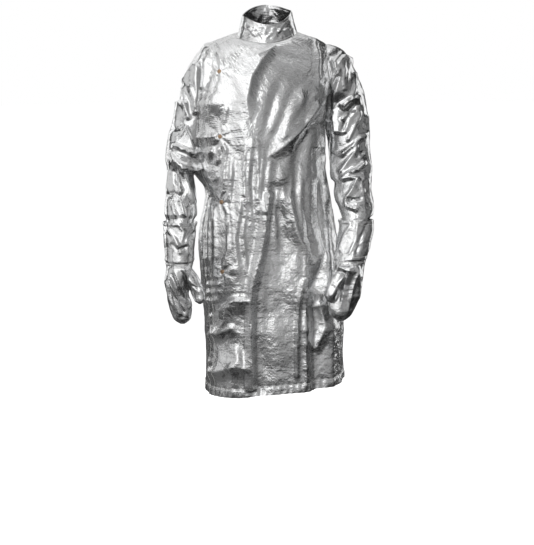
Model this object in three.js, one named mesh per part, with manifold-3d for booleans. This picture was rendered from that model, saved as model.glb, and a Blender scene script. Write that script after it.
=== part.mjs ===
// Long wrap-front coat of foil-faced cloth with a stand collar, set-in sleeves and a
// pair of one-thumb gauntlet mittens over the sleeve ends, kept in its worn form.
// Millimetres, +Z up, front towards -Y, the wearer's left towards +X.
// The origin is the middle of the collar seam, where the coat rests round the neck.

import * as THREE from "three";
import { mergeVertices } from "three/addons/utils/BufferGeometryUtils.js";
import Module from "manifold-3d";

const wasm = await Module();
wasm.setup();

// Cloth
const clothWall = 2;            // folded and quilted foil cloth, outside to inside
const turnedWall = 3;           // where an edge is turned under and stitched
const hemTurn = 26;             // height of the turned hem
const facingWidth = 42;         // width of the turned edge of the flap
const seamGap = 0.3;            // between two pieces that are sewn edge to edge
const layerGap = 0.6;           // between the flap and the underlap

// Coat body
const coatLength = 1032;        // collar seam at the side of the neck, down to the hem
const bodyHalfWidth = 230;      // middle of the neck to the side of the hem
const bodyHalfDepth = 159;      // middle of the neck to the front of the hem
const sideSeamTurn = 5;         // degrees that the side seams lie behind the middle
const webAngle = 188;           // degrees to where a raised sleeve pulls the side out
const webSpread = 34;           // degrees over which that pull fades
const foldRise = 1 / 3;         // of a standing fold's length, from nothing to full depth
const foldFade = 1 / 12;        // of its length, from full depth to nothing

// Collar
const collarHeight = 62;        // at the side of the neck
const collarWall = 2.5;
const collarFlapAngle = 157;    // degrees from the wearer's left to the collar's outer end
const collarUnderAngle = 108;   // degrees to its inner end, under the first
const collarTuckTurn = 26;      // degrees in which the band starts to step in under itself
const collarTuckEnd = 4;        // degrees before the lap at which it is fully in
const collarLean = 0.19;        // of the neck's width, lost from the seam to the top edge
const collarDeepen = 0.1;       // of the neck's depth, given back to the top edge
const collarFrontDip = 0.16;    // of the height, cut away at the front
const collarBackRise = 0.04;    // of the height, added at the back

// Sleeves
const sleeveLength = 548;       // collar seam down to the cut end inside the gauntlet
const sleeveStandOff = 78;      // outside of the elbow beyond the body's half width
const sleeveWidth = 130;        // across the upper arm, seen from the front
const sleeveHalfDepth = 66;     // middle of the upper arm to its front
const handForward = 168;        // fingertips in front of the middle of the neck

// Gauntlet mittens
const gauntletLap = 12;         // sleeve covered by the gauntlet
const gauntletLength = 112;     // top edge down to the wrist seam
const gauntletWidth = 96;       // across the top edge, seen from the front
const mittLength = 172;         // wrist seam to fingertips
const mittWidth = 92;           // across the wrist seam, seen from the front
const mittHalfDepth = 45;       // middle of the wrist to its front
const thumbLength = 100;        // middle of its root to its tip
const thumbRadius = 20;
const fitGap = 0.6;             // sleeve end to the inside of the gauntlet

// Snap fasteners
const snapRadius = 6.2;
const snapHeight = 2.4;
const snapInset = 70;           // cap's middle to the edge of the flap
const snapSearchTurn = 20;      // degrees over which that distance is measured
const snapFoot = 0.45;          // of the height, the cap's straight rim
const snapShoulder = 0.85;      // of the height, where the dome turns flat
const snapCrown = 0.8;          // of the radius, the dome's flat top

// Mesh counts
const bodyRings = 20;
const flapColumns = 26;
const backColumns = 18;
const lappedColumns = 8;        // of the flap's columns, over the underlap
const outerColumns = 3;         // of the underlap past the flap's edge
const collarColumns = 32;
const collarRings = 3;
const sleeveRings = 17;
const tubeColumns = 16;
const mittRings = 8;
const thumbRings = 6;
const thumbColumns = 10;
const snapSides = 12;
const coreRings = 9;            // of the sleeve's sections, in cutting the armhole
const snapHalvings = 20;        // steps in finding a snap's place on the body

const normalStep = 0.3;         // of a row, in working out a surface's direction
const normalTurn = 3;           // degrees, for the same
const mergeDistance = 1e-4;
const degrees = Math.PI / 180;

// Body sections from the collar seam to the hem. down is a share of coatLength at the
// sides, right and left are shares of bodyHalfWidth, front and back of bodyHalfDepth. A
// section of square 2 is an ellipse, and a higher one has squarer corners.
const bodyOutline = [
  { down: 0.008, right: 0.378, left: 0.383, front: 0.49, back: 0.45, square: 2.00 },
  { down: 0.010, right: 0.480, left: 0.500, front: 0.53, back: 0.52, square: 2.05 },
  { down: 0.020, right: 0.610, left: 0.640, front: 0.58, back: 0.58, square: 2.15 },
  { down: 0.032, right: 0.730, left: 0.745, front: 0.64, back: 0.64, square: 2.30 },
  { down: 0.055, right: 0.800, left: 0.790, front: 0.70, back: 0.71, square: 2.45 },
  { down: 0.097, right: 0.825, left: 0.815, front: 0.74, back: 0.75, square: 2.60 },
  { down: 0.150, right: 0.845, left: 0.790, front: 0.78, back: 0.76, square: 2.60 },
  { down: 0.205, right: 0.855, left: 0.750, front: 0.80, back: 0.77, square: 2.60 },
  { down: 0.260, right: 0.850, left: 0.735, front: 0.82, back: 0.77, square: 2.60 },
  { down: 0.325, right: 0.830, left: 0.735, front: 0.83, back: 0.77, square: 2.60 },
  { down: 0.385, right: 0.810, left: 0.745, front: 0.85, back: 0.78, square: 2.60 },
  { down: 0.430, right: 0.785, left: 0.780, front: 0.86, back: 0.78, square: 2.60 },
  { down: 0.475, right: 0.790, left: 0.820, front: 0.87, back: 0.79, square: 2.60 },
  { down: 0.530, right: 0.845, left: 0.870, front: 0.88, back: 0.80, square: 2.60 },
  { down: 0.595, right: 0.870, left: 0.920, front: 0.90, back: 0.81, square: 2.60 },
  { down: 0.660, right: 0.850, left: 0.950, front: 0.92, back: 0.82, square: 2.60 },
  { down: 0.745, right: 0.815, left: 0.975, front: 0.94, back: 0.84, square: 2.60 },
  { down: 0.830, right: 0.785, left: 0.990, front: 0.96, back: 0.86, square: 2.60 },
  { down: 0.915, right: 0.775, left: 0.995, front: 0.98, back: 0.88, square: 2.60 },
  { down: 1.000, right: 0.790, left: 1.000, front: 1.00, back: 0.89, square: 2.60 },
];

// The same sections' drape. frontDown, backUp and tilt, the rise of the wearer's left
// side, are shares of bodyHalfDepth. web is the sleeve's pull on the side, a share of
// bodyHalfWidth, and flap the angle of the flap's edge in degrees.
const bodyDrape = [
  { frontDown: 0.150, backUp: 0.140, web: 0.00, flap: 181, tilt: 0.055 },
  { frontDown: 0.190, backUp: 0.125, web: 0.00, flap: 181, tilt: 0.012 },
  { frontDown: 0.265, backUp: 0.090, web: 0.00, flap: 180, tilt: 0.007 },
  { frontDown: 0.390, backUp: 0.020, web: 0.00, flap: 177, tilt: 0.002 },
  { frontDown: 0.470, backUp: -0.050, web: 0.00, flap: 172, tilt: -0.011 },
  { frontDown: 0.460, backUp: -0.050, web: 0.00, flap: 168, tilt: -0.019 },
  { frontDown: 0.340, backUp: 0.000, web: 0.02, flap: 167, tilt: 0.000 },
  { frontDown: 0.190, backUp: 0.000, web: 0.06, flap: 167, tilt: 0.000 },
  { frontDown: 0.070, backUp: 0.000, web: 0.12, flap: 166, tilt: 0.000 },
  { frontDown: 0.010, backUp: 0.000, web: 0.13, flap: 167, tilt: 0.000 },
  { frontDown: 0.000, backUp: 0.000, web: 0.13, flap: 168, tilt: 0.000 },
  { frontDown: 0.000, backUp: 0.000, web: 0.01, flap: 169, tilt: 0.000 },
  { frontDown: 0.000, backUp: 0.000, web: 0.00, flap: 170, tilt: 0.000 },
  { frontDown: 0.000, backUp: 0.000, web: 0.00, flap: 168, tilt: 0.000 },
  { frontDown: 0.000, backUp: 0.000, web: 0.00, flap: 167, tilt: 0.000 },
  { frontDown: 0.000, backUp: 0.000, web: 0.00, flap: 168, tilt: 0.000 },
  { frontDown: 0.000, backUp: 0.000, web: 0.00, flap: 170, tilt: 0.020 },
  { frontDown: 0.000, backUp: 0.000, web: 0.00, flap: 171, tilt: 0.045 },
  { frontDown: 0.000, backUp: 0.000, web: 0.00, flap: 171, tilt: 0.070 },
  { frontDown: 0.000, backUp: 0.000, web: 0.00, flap: 170, tilt: 0.090 },
];
const bodySections = bodyOutline.map((row, i) => ({ ...row, ...bodyDrape[i] }));

// Standing folds of the body. angle and lean are degrees at the top and their change
// to the bottom, top and bottom shares of coatLength, width is the half width in
// radians round the body, depth a share of bodyHalfDepth, and below nought a valley.
const bodyFolds = [
  { angle: 84, lean: 22, top: 0.05, bottom: 0.30, width: 0.21, depth: -0.045 },
  { angle: 72, lean: 16, top: 0.10, bottom: 0.42, width: 0.20, depth: 0.040 },
  { angle: 60, lean: 24, top: 0.22, bottom: 0.45, width: 0.20, depth: -0.050 },
  { angle: 86, lean: 18, top: 0.40, bottom: 1.04, width: 0.22, depth: -0.080 },
  { angle: 78, lean: -2, top: 0.46, bottom: 1.04, width: 0.20, depth: 0.062 },
  { angle: 64, lean: -2, top: 0.48, bottom: 1.04, width: 0.22, depth: -0.075 },
  { angle: 48, lean: 6, top: 0.40, bottom: 1.04, width: 0.24, depth: 0.060 },
  { angle: 120, lean: 4, top: 0.45, bottom: 1.04, width: 0.30, depth: 0.050 },
  { angle: 20, lean: 0, top: 0.50, bottom: 1.04, width: 0.30, depth: -0.050 },
  { angle: 222, lean: -6, top: 0.34, bottom: 1.04, width: 0.34, depth: 0.080 },
  { angle: 246, lean: -2, top: 0.30, bottom: 1.04, width: 0.30, depth: -0.090 },
  { angle: 270, lean: 2, top: 0.38, bottom: 1.04, width: 0.34, depth: 0.085 },
  { angle: 296, lean: 4, top: 0.30, bottom: 1.04, width: 0.30, depth: -0.090 },
  { angle: 318, lean: 4, top: 0.34, bottom: 1.04, width: 0.34, depth: 0.080 },
];

// Sleeve sections from inside the shoulder to the cut end. down is a share of
// sleeveLength and out of the arm's reach, both at the outer edge. tilt is the
// section's slope in degrees, width and depth are shares of the sleeve's own,
// forward of handForward.
const rightSleeveSections = [
  { down: 0.056, out: 0.450, tilt: 80, width: 1.25, depth: 0.94, forward: -0.09 },
  { down: 0.058, out: 0.576, tilt: 70, width: 1.27, depth: 1.13, forward: -0.09 },
  { down: 0.102, out: 0.646, tilt: 55, width: 1.18, depth: 1.20, forward: -0.08 },
  { down: 0.163, out: 0.716, tilt: 42, width: 1.08, depth: 1.20, forward: -0.08 },
  { down: 0.245, out: 0.784, tilt: 28, width: 0.99, depth: 1.15, forward: -0.07 },
  { down: 0.352, out: 0.834, tilt: 18, width: 0.92, depth: 1.06, forward: -0.06 },
  { down: 0.431, out: 0.883, tilt: 12, width: 0.88, depth: 1.00, forward: -0.05 },
  { down: 0.520, out: 0.922, tilt: 9, width: 0.84, depth: 0.98, forward: -0.02 },
  { down: 0.593, out: 0.957, tilt: 14, width: 0.82, depth: 0.97, forward: 0.03 },
  { down: 0.655, out: 0.972, tilt: 16, width: 0.84, depth: 1.02, forward: 0.08 },
  { down: 0.690, out: 0.966, tilt: 14, width: 0.72, depth: 0.86, forward: 0.07 },
  { down: 0.726, out: 0.962, tilt: 8, width: 0.63, depth: 0.80, forward: 0.07 },
  { down: 0.790, out: 0.966, tilt: 5, width: 0.64, depth: 0.82, forward: 0.12 },
  { down: 0.867, out: 0.981, tilt: 3, width: 0.68, depth: 0.80, forward: 0.19 },
  { down: 0.940, out: 0.995, tilt: 1, width: 0.70, depth: 0.77, forward: 0.27 },
];
const leftSleeveSections = [
  { down: 0.052, out: 0.450, tilt: 80, width: 1.24, depth: 0.94, forward: -0.08 },
  { down: 0.063, out: 0.620, tilt: 66, width: 1.23, depth: 1.12, forward: -0.07 },
  { down: 0.088, out: 0.727, tilt: 56, width: 1.21, depth: 1.18, forward: -0.06 },
  { down: 0.119, out: 0.781, tilt: 48, width: 1.16, depth: 1.20, forward: -0.05 },
  { down: 0.173, out: 0.831, tilt: 38, width: 1.09, depth: 1.18, forward: -0.05 },
  { down: 0.237, out: 0.883, tilt: 28, width: 1.03, depth: 1.14, forward: -0.04 },
  { down: 0.314, out: 0.942, tilt: 20, width: 1.00, depth: 1.08, forward: -0.02 },
  { down: 0.409, out: 0.981, tilt: 12, width: 1.00, depth: 1.02, forward: 0.01 },
  { down: 0.540, out: 0.998, tilt: 6, width: 1.00, depth: 0.98, forward: 0.07 },
  { down: 0.630, out: 0.995, tilt: 10, width: 0.98, depth: 0.96, forward: 0.14 },
  { down: 0.706, out: 0.998, tilt: 12, width: 0.96, depth: 0.98, forward: 0.23 },
  { down: 0.760, out: 0.985, tilt: 8, width: 0.86, depth: 0.86, forward: 0.32 },
  { down: 0.830, out: 0.962, tilt: 5, width: 0.82, depth: 0.79, forward: 0.42 },
  { down: 0.895, out: 0.972, tilt: 2, width: 0.82, depth: 0.79, forward: 0.51 },
  { down: 0.950, out: 0.962, tilt: 0, width: 0.76, depth: 0.73, forward: 0.59 },
];

// Gauntlet sections from the top edge to the wrist seam: down is a share of
// gauntletLength, out of the arm's reach, width of gauntletWidth, depth of the sleeve's.
const rightGauntletSections = [
  { down: 0.00, out: 1.010, width: 0.96, depth: 0.84, forward: 0.33 },
  { down: 0.35, out: 1.014, width: 0.93, depth: 0.81, forward: 0.39 },
  { down: 0.72, out: 1.013, width: 0.87, depth: 0.76, forward: 0.45 },
  { down: 1.00, out: 1.010, width: 0.83, depth: 0.70, forward: 0.50 },
];
const leftGauntletSections = [
  { down: 0.00, out: 0.931, width: 0.98, depth: 0.82, forward: 0.64 },
  { down: 0.20, out: 0.940, width: 1.03, depth: 0.81, forward: 0.69 },
  { down: 0.50, out: 0.918, width: 1.02, depth: 0.77, forward: 0.74 },
  { down: 1.00, out: 0.851, width: 0.98, depth: 0.69, forward: 0.83 },
];

// Hand sections from the wrist seam to the fingertips: down is a share of mittLength,
// out of the arm's reach, width of mittWidth, depth of mittHalfDepth.
const rightMittSections = [
  { down: 0.00, out: 1.010, width: 0.86, depth: 1.00, forward: 0.50 },
  { down: 0.25, out: 1.019, width: 0.78, depth: 0.88, forward: 0.56 },
  { down: 0.50, out: 1.016, width: 0.68, depth: 0.76, forward: 0.61 },
  { down: 0.75, out: 0.997, width: 0.70, depth: 0.66, forward: 0.66 },
  { down: 0.92, out: 0.961, width: 0.54, depth: 0.50, forward: 0.69 },
  { down: 1.00, out: 0.900, width: 0.16, depth: 0.16, forward: 0.71 },
];
const leftMittSections = [
  { down: 0.00, out: 0.851, width: 1.02, depth: 1.00, forward: 0.83 },
  { down: 0.22, out: 0.821, width: 0.93, depth: 0.88, forward: 0.88 },
  { down: 0.48, out: 0.799, width: 0.89, depth: 0.78, forward: 0.93 },
  { down: 0.70, out: 0.753, width: 0.92, depth: 0.69, forward: 0.96 },
  { down: 0.90, out: 0.701, width: 0.70, depth: 0.54, forward: 0.99 },
  { down: 1.00, out: 0.625, width: 0.20, depth: 0.18, forward: 1.00 },
];

// Thumbs: in is a share of thumbLength from the hand's inner edge at the root towards
// the body, down and ahead shares of thumbLength, size of thumbRadius.
const rightThumbSections = [
  { in: -0.18, down: -0.14, ahead: 0.00, size: 0.86 },
  { in: 0.04, down: 0.14, ahead: 0.08, size: 1.08 },
  { in: 0.18, down: 0.42, ahead: 0.16, size: 1.02 },
  { in: 0.28, down: 0.68, ahead: 0.22, size: 0.92 },
  { in: 0.31, down: 0.88, ahead: 0.26, size: 0.66 },
  { in: 0.31, down: 0.96, ahead: 0.27, size: 0.18 },
];
const leftThumbSections = [
  { in: -0.20, down: -0.12, ahead: 0.04, size: 0.90 },
  { in: 0.02, down: 0.12, ahead: 0.12, size: 1.12 },
  { in: 0.24, down: 0.42, ahead: 0.20, size: 1.02 },
  { in: 0.38, down: 0.68, ahead: 0.26, size: 0.94 },
  { in: 0.40, down: 0.88, ahead: 0.29, size: 0.66 },
  { in: 0.38, down: 0.97, ahead: 0.30, size: 0.18 },
];

// Snaps down the flap: down is a share of coatLength, inset of snapInset.
const snapRows = [
  { down: 0.074, inset: 0.96 },
  { down: 0.280, inset: 1.11 },
  { down: 0.464, inset: 0.92 },
  { down: 0.656, inset: 1.13 },
];

const armReach = bodyHalfWidth + sleeveStandOff;
const gauntletTop = sleeveLength - gauntletLap;
const wristDown = gauntletTop + gauntletLength;

// One value of a table's column at a place between its rows, on a smooth curve.
function tableValue(rows, column, place) {
  const last = rows.length - 1;
  const row = Math.min(Math.floor(place), last - 1);
  const t = place - row;
  const before = rows[Math.max(row - 1, 0)][column];
  const from = rows[row][column];
  const to = rows[row + 1][column];
  const after = rows[Math.min(row + 2, last)][column];
  const slopeFrom = (to - before) / 2;
  const slopeTo = (after - from) / 2;
  return (
    from * (2 * t ** 3 - 3 * t ** 2 + 1) +
    slopeFrom * (t ** 3 - 2 * t ** 2 + t) +
    to * (3 * t ** 2 - 2 * t ** 3) +
    slopeTo * (t ** 3 - t ** 2)
  );
}

function tableRow(rows, place) {
  const values = {};
  for (const column of Object.keys(rows[0])) {
    values[column] = tableValue(rows, column, place);
  }
  return values;
}

function squared(value, square) {
  return Math.sign(value) * Math.abs(value) ** (2 / square);
}

// Depth of the body's folds at an angle and a share of the coat's length.
function foldDepth(angle, down) {
  let depth = 0;
  for (const fold of bodyFolds) {
    const along = (down - fold.top) / (fold.bottom - fold.top);
    if (along > 0 && along < 1) {
      const middle = fold.angle + fold.lean * along;
      const across = ((angle - middle) * degrees) / fold.width;
      const rise = Math.min(1, along / foldRise) * Math.min(1, (1 - along) / foldFade);
      if (Math.abs(across) < 1) {
        depth += fold.depth * bodyHalfDepth * (1 - across ** 2) ** 2 * rise;
      }
    }
  }
  return depth;
}

// Point of the coat's outer surface. place runs over the rows of bodySections and angle
// is in degrees from the wearer's left, by the front at 90, to the back at 270.
function bodyPoint(place, angle) {
  const section = tableRow(bodySections, place);
  const cos = squared(Math.cos(angle * degrees), section.square);
  const sin = squared(Math.sin(angle * degrees), section.square);
  const fold = foldDepth((angle + 360) % 360, section.down);
  const webTurn = (angle - webAngle) / webSpread;
  const web = section.web * Math.exp(-(webTurn ** 2));
  const side = cos > 0 ? section.left : section.right + web;
  const depth = sin > 0 ? section.front : section.back;
  const drop = sin > 0 ? -section.frontDown * sin ** 2 : section.backUp * sin ** 2;
  const centreDistance = Math.hypot(cos * bodyHalfWidth, sin * bodyHalfDepth);
  const push = 1 + fold / centreDistance;
  return new THREE.Vector3(
    side * bodyHalfWidth * cos * push,
    -depth * bodyHalfDepth * sin * push,
    -section.down * coatLength + (drop + section.tilt * cos) * bodyHalfDepth,
  );
}

// Outward directions at a grid's points. rows[i][j] are points of the outer surface and
// facing is 1 or -1 with the direction of the columns.
function gridNormals(rows, closedRound, facing = 1) {
  const last = rows.length - 1;
  const count = rows[0].length;
  const column = (j) => (closedRound ? (j + count) % count : Math.min(Math.max(j, 0), count - 1));
  return rows.map((row, i) =>
    row.map((_, j) => {
      const down = rows[Math.min(i + 1, last)][j].clone().sub(rows[Math.max(i - 1, 0)][j]);
      const across = row[column(j + 1)].clone().sub(row[column(j - 1)]);
      return across.cross(down).normalize().multiplyScalar(facing);
    }),
  );
}

function movedIn(rows, normals, distanceAt) {
  return rows.map((row, i) =>
    row.map((point, j) => point.clone().addScaledVector(normals[i][j], -distanceAt(i, j))),
  );
}

// Closed shell between an outer grid of points and its copy one wall inwards.
function shell(rows, normals, wallAt, closedRound, facing = 1) {
  const rowCount = rows.length;
  const columnCount = rows[0].length;
  const positions = rows.flat();
  const inner = movedIn(rows, normals, wallAt).flat();
  const innerStart = positions.length;
  positions.push(...inner);
  const faces = [];
  const quad = (a, b, c, d) => {
    const corners = facing > 0 ? [a, b, c, a, c, d] : [a, c, b, a, d, c];
    faces.push(...corners);
  };
  const at = (i, j) => i * columnCount + (j % columnCount);
  const lastColumn = closedRound ? columnCount : columnCount - 1;
  for (let i = 0; i + 1 < rowCount; i += 1) {
    for (let j = 0; j < lastColumn; j += 1) {
      quad(at(i, j), at(i, j + 1), at(i + 1, j + 1), at(i + 1, j));
      quad(
        innerStart + at(i, j),
        innerStart + at(i + 1, j),
        innerStart + at(i + 1, j + 1),
        innerStart + at(i, j + 1),
      );
    }
  }
  for (let j = 0; j < lastColumn; j += 1) {
    const bottom = rowCount - 1;
    quad(at(0, j), innerStart + at(0, j), innerStart + at(0, j + 1), at(0, j + 1));
    quad(
      at(bottom, j),
      at(bottom, j + 1),
      innerStart + at(bottom, j + 1),
      innerStart + at(bottom, j),
    );
  }
  if (!closedRound) {
    const edge = columnCount - 1;
    for (let i = 0; i + 1 < rowCount; i += 1) {
      quad(at(i, 0), at(i + 1, 0), innerStart + at(i + 1, 0), innerStart + at(i, 0));
      quad(at(i, edge), innerStart + at(i, edge), innerStart + at(i + 1, edge), at(i + 1, edge));
    }
  }
  return geometryOf(positions, faces);
}

// Solid through closed rings, with flat ends.
function solidLoft(rings, facing = 1) {
  const columnCount = rings[0].length;
  const positions = rings.flat();
  const faces = [];
  const triangle = (a, b, c) => {
    if (facing > 0) {
      faces.push(a, b, c);
    } else {
      faces.push(a, c, b);
    }
  };
  for (let i = 0; i + 1 < rings.length; i += 1) {
    for (let j = 0; j < columnCount; j += 1) {
      const next = (j + 1) % columnCount;
      const a = i * columnCount + j;
      const b = i * columnCount + next;
      const c = (i + 1) * columnCount + next;
      const d = (i + 1) * columnCount + j;
      triangle(a, b, c);
      triangle(a, c, d);
    }
  }
  const lastStart = (rings.length - 1) * columnCount;
  for (const [start, turn] of [[0, -1], [lastStart, 1]]) {
    const middle = new THREE.Vector3();
    for (let j = 0; j < columnCount; j += 1) {
      middle.addScaledVector(positions[start + j], 1 / columnCount);
    }
    positions.push(middle);
    const centre = positions.length - 1;
    for (let j = 0; j < columnCount; j += 1) {
      const next = (j + 1) % columnCount;
      if (turn > 0) {
        triangle(start + j, start + next, centre);
      } else {
        triangle(start + next, start + j, centre);
      }
    }
  }
  return geometryOf(positions, faces);
}

function geometryOf(points, faces) {
  const geometry = new THREE.BufferGeometry();
  const numbers = points.flatMap((point) => [point.x, point.y, point.z]);
  geometry.setAttribute("position", new THREE.Float32BufferAttribute(numbers, 3));
  geometry.setIndex(faces);
  return geometry;
}

function toManifold(geometry) {
  const merged = mergeVertices(geometry, mergeDistance);
  return new wasm.Manifold(
    new wasm.Mesh({
      numProp: 3,
      vertProperties: new Float32Array(merged.attributes.position.array),
      triVerts: new Uint32Array(merged.index.array),
    }),
  );
}

// The largest body of a solid, without the slivers that a cut may leave.
function fromManifold(solid) {
  const bodies = solid.decompose();
  bodies.sort((a, b) => b.volume() - a.volume());
  const mesh = bodies[0].getMesh();
  const geometry = new THREE.BufferGeometry();
  const numbers = Array.from(mesh.vertProperties);
  geometry.setAttribute("position", new THREE.Float32BufferAttribute(numbers, 3));
  geometry.setIndex(Array.from(mesh.triVerts));
  return geometry;
}

const foil = { color: 0xc4c6c8, roughness: 0.32, metalness: 0.9 };
const brass = { color: 0xb89b6a, roughness: 0.4, metalness: 0.9 };

function piece(name, geometry, finish) {
  const flat = geometry.toNonIndexed();
  flat.computeVertexNormals();
  const mesh = new THREE.Mesh(flat, new THREE.MeshStandardMaterial(finish));
  mesh.name = name;
  return mesh;
}

// Places of the body's rings in bodySections.
const bodyPlaces = spaced(0, bodySections.length - 1, bodyRings - 1);

// Outward direction of the coat's surface, the same for both panels at a seam.
function bodyNormal(place, angle) {
  const above = Math.max(place - normalStep, 0);
  const below = Math.min(place + normalStep, bodySections.length - 1);
  const down = bodyPoint(below, angle).sub(bodyPoint(above, angle));
  const across = bodyPoint(place, angle + normalTurn).sub(bodyPoint(place, angle - normalTurn));
  return across.cross(down).normalize();
}

// One panel of the body, through the angles given for each ring.
function panel(anglesAt) {
  return {
    rows: bodyPlaces.map((place) => anglesAt(place).map((angle) => bodyPoint(place, angle))),
    normals: bodyPlaces.map((place) => anglesAt(place).map((angle) => bodyNormal(place, angle))),
  };
}

function spaced(from, to, count) {
  return Array.from({ length: count + 1 }, (_, j) => from + ((to - from) * j) / count);
}

const downAt = (place) => tableValue(bodySections, "down", place);

function hemWall(place) {
  return (1 - downAt(place)) * coatLength < hemTurn ? turnedWall : clothWall;
}

// Half of a seam's gap, in degrees of the body's ring at that place.
function seamTurn(place) {
  const depth = tableValue(bodySections, "front", place) * bodyHalfDepth;
  return seamGap / 2 / depth / degrees;
}

const leftSeam = -sideSeamTurn;
const rightSeam = 180 + sideSeamTurn;
const flapAngle = (place) => tableValue(bodySections, "flap", place);
const flapAngles = (place) => spaced(leftSeam + seamTurn(place), flapAngle(place), flapColumns);

function flapGeometry() {
  const { rows, normals } = panel(flapAngles);
  return shell(
    rows,
    normals,
    (i, j) => {
      const nearEdge = rows[i][j].distanceTo(rows[i][flapColumns]) < facingWidth;
      return nearEdge ? turnedWall : hemWall(bodyPlaces[i]);
    },
    false,
  );
}

// The underlap lies under the last columns of the flap and comes out past its edge.
function underlapGeometry() {
  const { rows, normals } = panel((place) => [
    ...flapAngles(place).slice(-lappedColumns - 1),
    ...spaced(flapAngle(place), rightSeam - seamTurn(place), outerColumns).slice(1),
  ]);
  const tuck = turnedWall + layerGap;
  const tucked = movedIn(rows, normals, (i, j) => (j <= lappedColumns ? tuck : 0));
  return shell(tucked, normals, (i) => hemWall(bodyPlaces[i]), false);
}

const backAngles = (place) =>
  spaced(rightSeam + seamTurn(place), 360 + leftSeam - seamTurn(place), backColumns);

function backGeometry() {
  const { rows, normals } = panel(backAngles);
  return shell(rows, normals, (i) => hemWall(bodyPlaces[i]), false);
}

// The space that the coat's outer surface encloses, grown by a clearance.
function bodySolid(grow) {
  const { rows, normals } = panel((place) => [
    ...flapAngles(place),
    ...spaced(flapAngle(place), rightSeam - seamTurn(place), outerColumns).slice(1),
    ...backAngles(place),
  ]);
  const rings = movedIn(rows, normals, () => -grow);
  const lid = rings[0].map((p) => p.clone().setZ(p.z + collarHeight));
  return toManifold(solidLoft([lid, ...rings]));
}

// The stand collar is one band round the neck whose end tucks in under its start.
function collarGeometry() {
  const turns = collarFlapAngle + 360 - collarUnderAngle;
  const rows = [];
  for (let i = 0; i <= collarRings; i += 1) {
    const up = i / collarRings;
    const row = [];
    for (let j = 0; j <= collarColumns; j += 1) {
      const passed = (turns * j) / collarColumns;
      const angle = collarFlapAngle - passed;
      const tuck = THREE.MathUtils.smoothstep(passed, 360 - collarTuckTurn, 360 - collarTuckEnd);
      const base = bodyPoint(0, (angle + 360) % 360);
      const inset = (tuck * (collarWall + layerGap)) / Math.hypot(base.x, base.y);
      const sin = Math.sin(angle * degrees);
      const height = sin > 0 ? 1 - collarFrontDip * sin : 1 - collarBackRise * sin;
      const across = 1 - collarLean * up - inset;
      row.push(
        new THREE.Vector3(
          base.x * across,
          base.y * (across + collarDeepen * up),
          base.z + seamGap + collarHeight * height * up,
        ),
      );
    }
    rows.push(row);
  }
  return shell(rows, gridNormals(rows, false), () => collarWall, false);
}

// Ring of an arm section: side is -1 for the wearer's right and 1 for the left, and
// shrink is how far inside the section's outline the ring lies.
function armRing(section, side, shrink) {
  const tilt = section.tilt * degrees;
  const outer = new THREE.Vector3(side * section.out, -section.forward, -section.down);
  const inwards = new THREE.Vector3(-side * Math.cos(tilt), 0, -Math.sin(tilt));
  const middle = outer.clone().addScaledVector(inwards, section.width / 2);
  return Array.from({ length: tubeColumns }, (_, j) => {
    const turn = (2 * Math.PI * j) / tubeColumns;
    const point = middle.clone();
    point.addScaledVector(inwards, Math.cos(turn) * (section.width / 2 - shrink));
    point.y -= Math.sin(turn) * (section.depth - shrink);
    return point;
  });
}

function evenly(rows, count, read) {
  return spaced(0, rows.length - 1, count - 1).map((place) => read(tableRow(rows, place)));
}

function gauntletSections(rows) {
  return rows.map((row) => ({
    down: gauntletTop + row.down * gauntletLength,
    out: row.out * armReach,
    tilt: 0,
    width: row.width * gauntletWidth,
    depth: row.depth * sleeveHalfDepth,
    forward: row.forward * handForward,
  }));
}

// The sleeve's last section is the gauntlet's own, one wall and a fit gap smaller.
function sleeveSections(rows, gauntletRows) {
  const sections = evenly(rows, sleeveRings, (row) => ({
    down: row.down * sleeveLength,
    out: row.out * armReach,
    tilt: row.tilt,
    width: row.width * sleeveWidth,
    depth: row.depth * sleeveHalfDepth,
    forward: row.forward * handForward,
  }));
  const gauntlet = gauntletSections(gauntletRows);
  for (const lapped of [0, 1]) {
    const share = (lapped * gauntletLap) / gauntletLength;
    const top = gauntlet[0];
    const next = gauntlet[1];
    const t = share / (gauntletRows[1].down - gauntletRows[0].down);
    const inset = clothWall + fitGap;
    const mix = (column) => top[column] + (next[column] - top[column]) * t;
    sections.push({
      down: gauntletTop + lapped * gauntletLap,
      out: mix("out") - inset,
      tilt: 0,
      width: mix("width") - 2 * inset,
      depth: mix("depth") - inset,
      forward: mix("forward"),
    });
  }
  return sections;
}

function armRings(sections, side, shrink) {
  return sections.map((section) => armRing(section, side, shrink));
}

// Open tube of cloth through an arm's sections.
function armTube(sections, side) {
  const rings = armRings(sections, side, 0);
  const normals = gridNormals(rings, true, -side);
  for (const end of [normals[0], normals[normals.length - 1]]) {
    end.forEach((normal) => normal.setZ(0).normalize());
  }
  return shell(rings, normals, () => clothWall, true, -side);
}

function mittSections(rows) {
  return rows.map((row) => ({
    down: wristDown + seamGap + row.down * mittLength,
    out: row.out * armReach,
    tilt: 0,
    width: row.width * mittWidth,
    depth: row.depth * mittHalfDepth,
    forward: row.forward * handForward,
  }));
}

// Rings of a thumb about its bent middle line, grown or shrunk by a wall.
function thumbOutlines(rows, root, side, shrink) {
  return evenly(rows, thumbRings, (row) => {
    const middle = new THREE.Vector3(
      root.x - side * row.in * thumbLength,
      root.y - row.ahead * thumbLength,
      root.z - row.down * thumbLength,
    );
    const radius = Math.max(row.size * thumbRadius - shrink, 1);
    return Array.from({ length: thumbColumns }, (_, j) => {
      const turn = (2 * Math.PI * j) / thumbColumns;
      return new THREE.Vector3(
        middle.x - side * Math.cos(turn) * radius,
        middle.y - Math.sin(turn) * radius,
        middle.z,
      );
    });
  });
}

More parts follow.
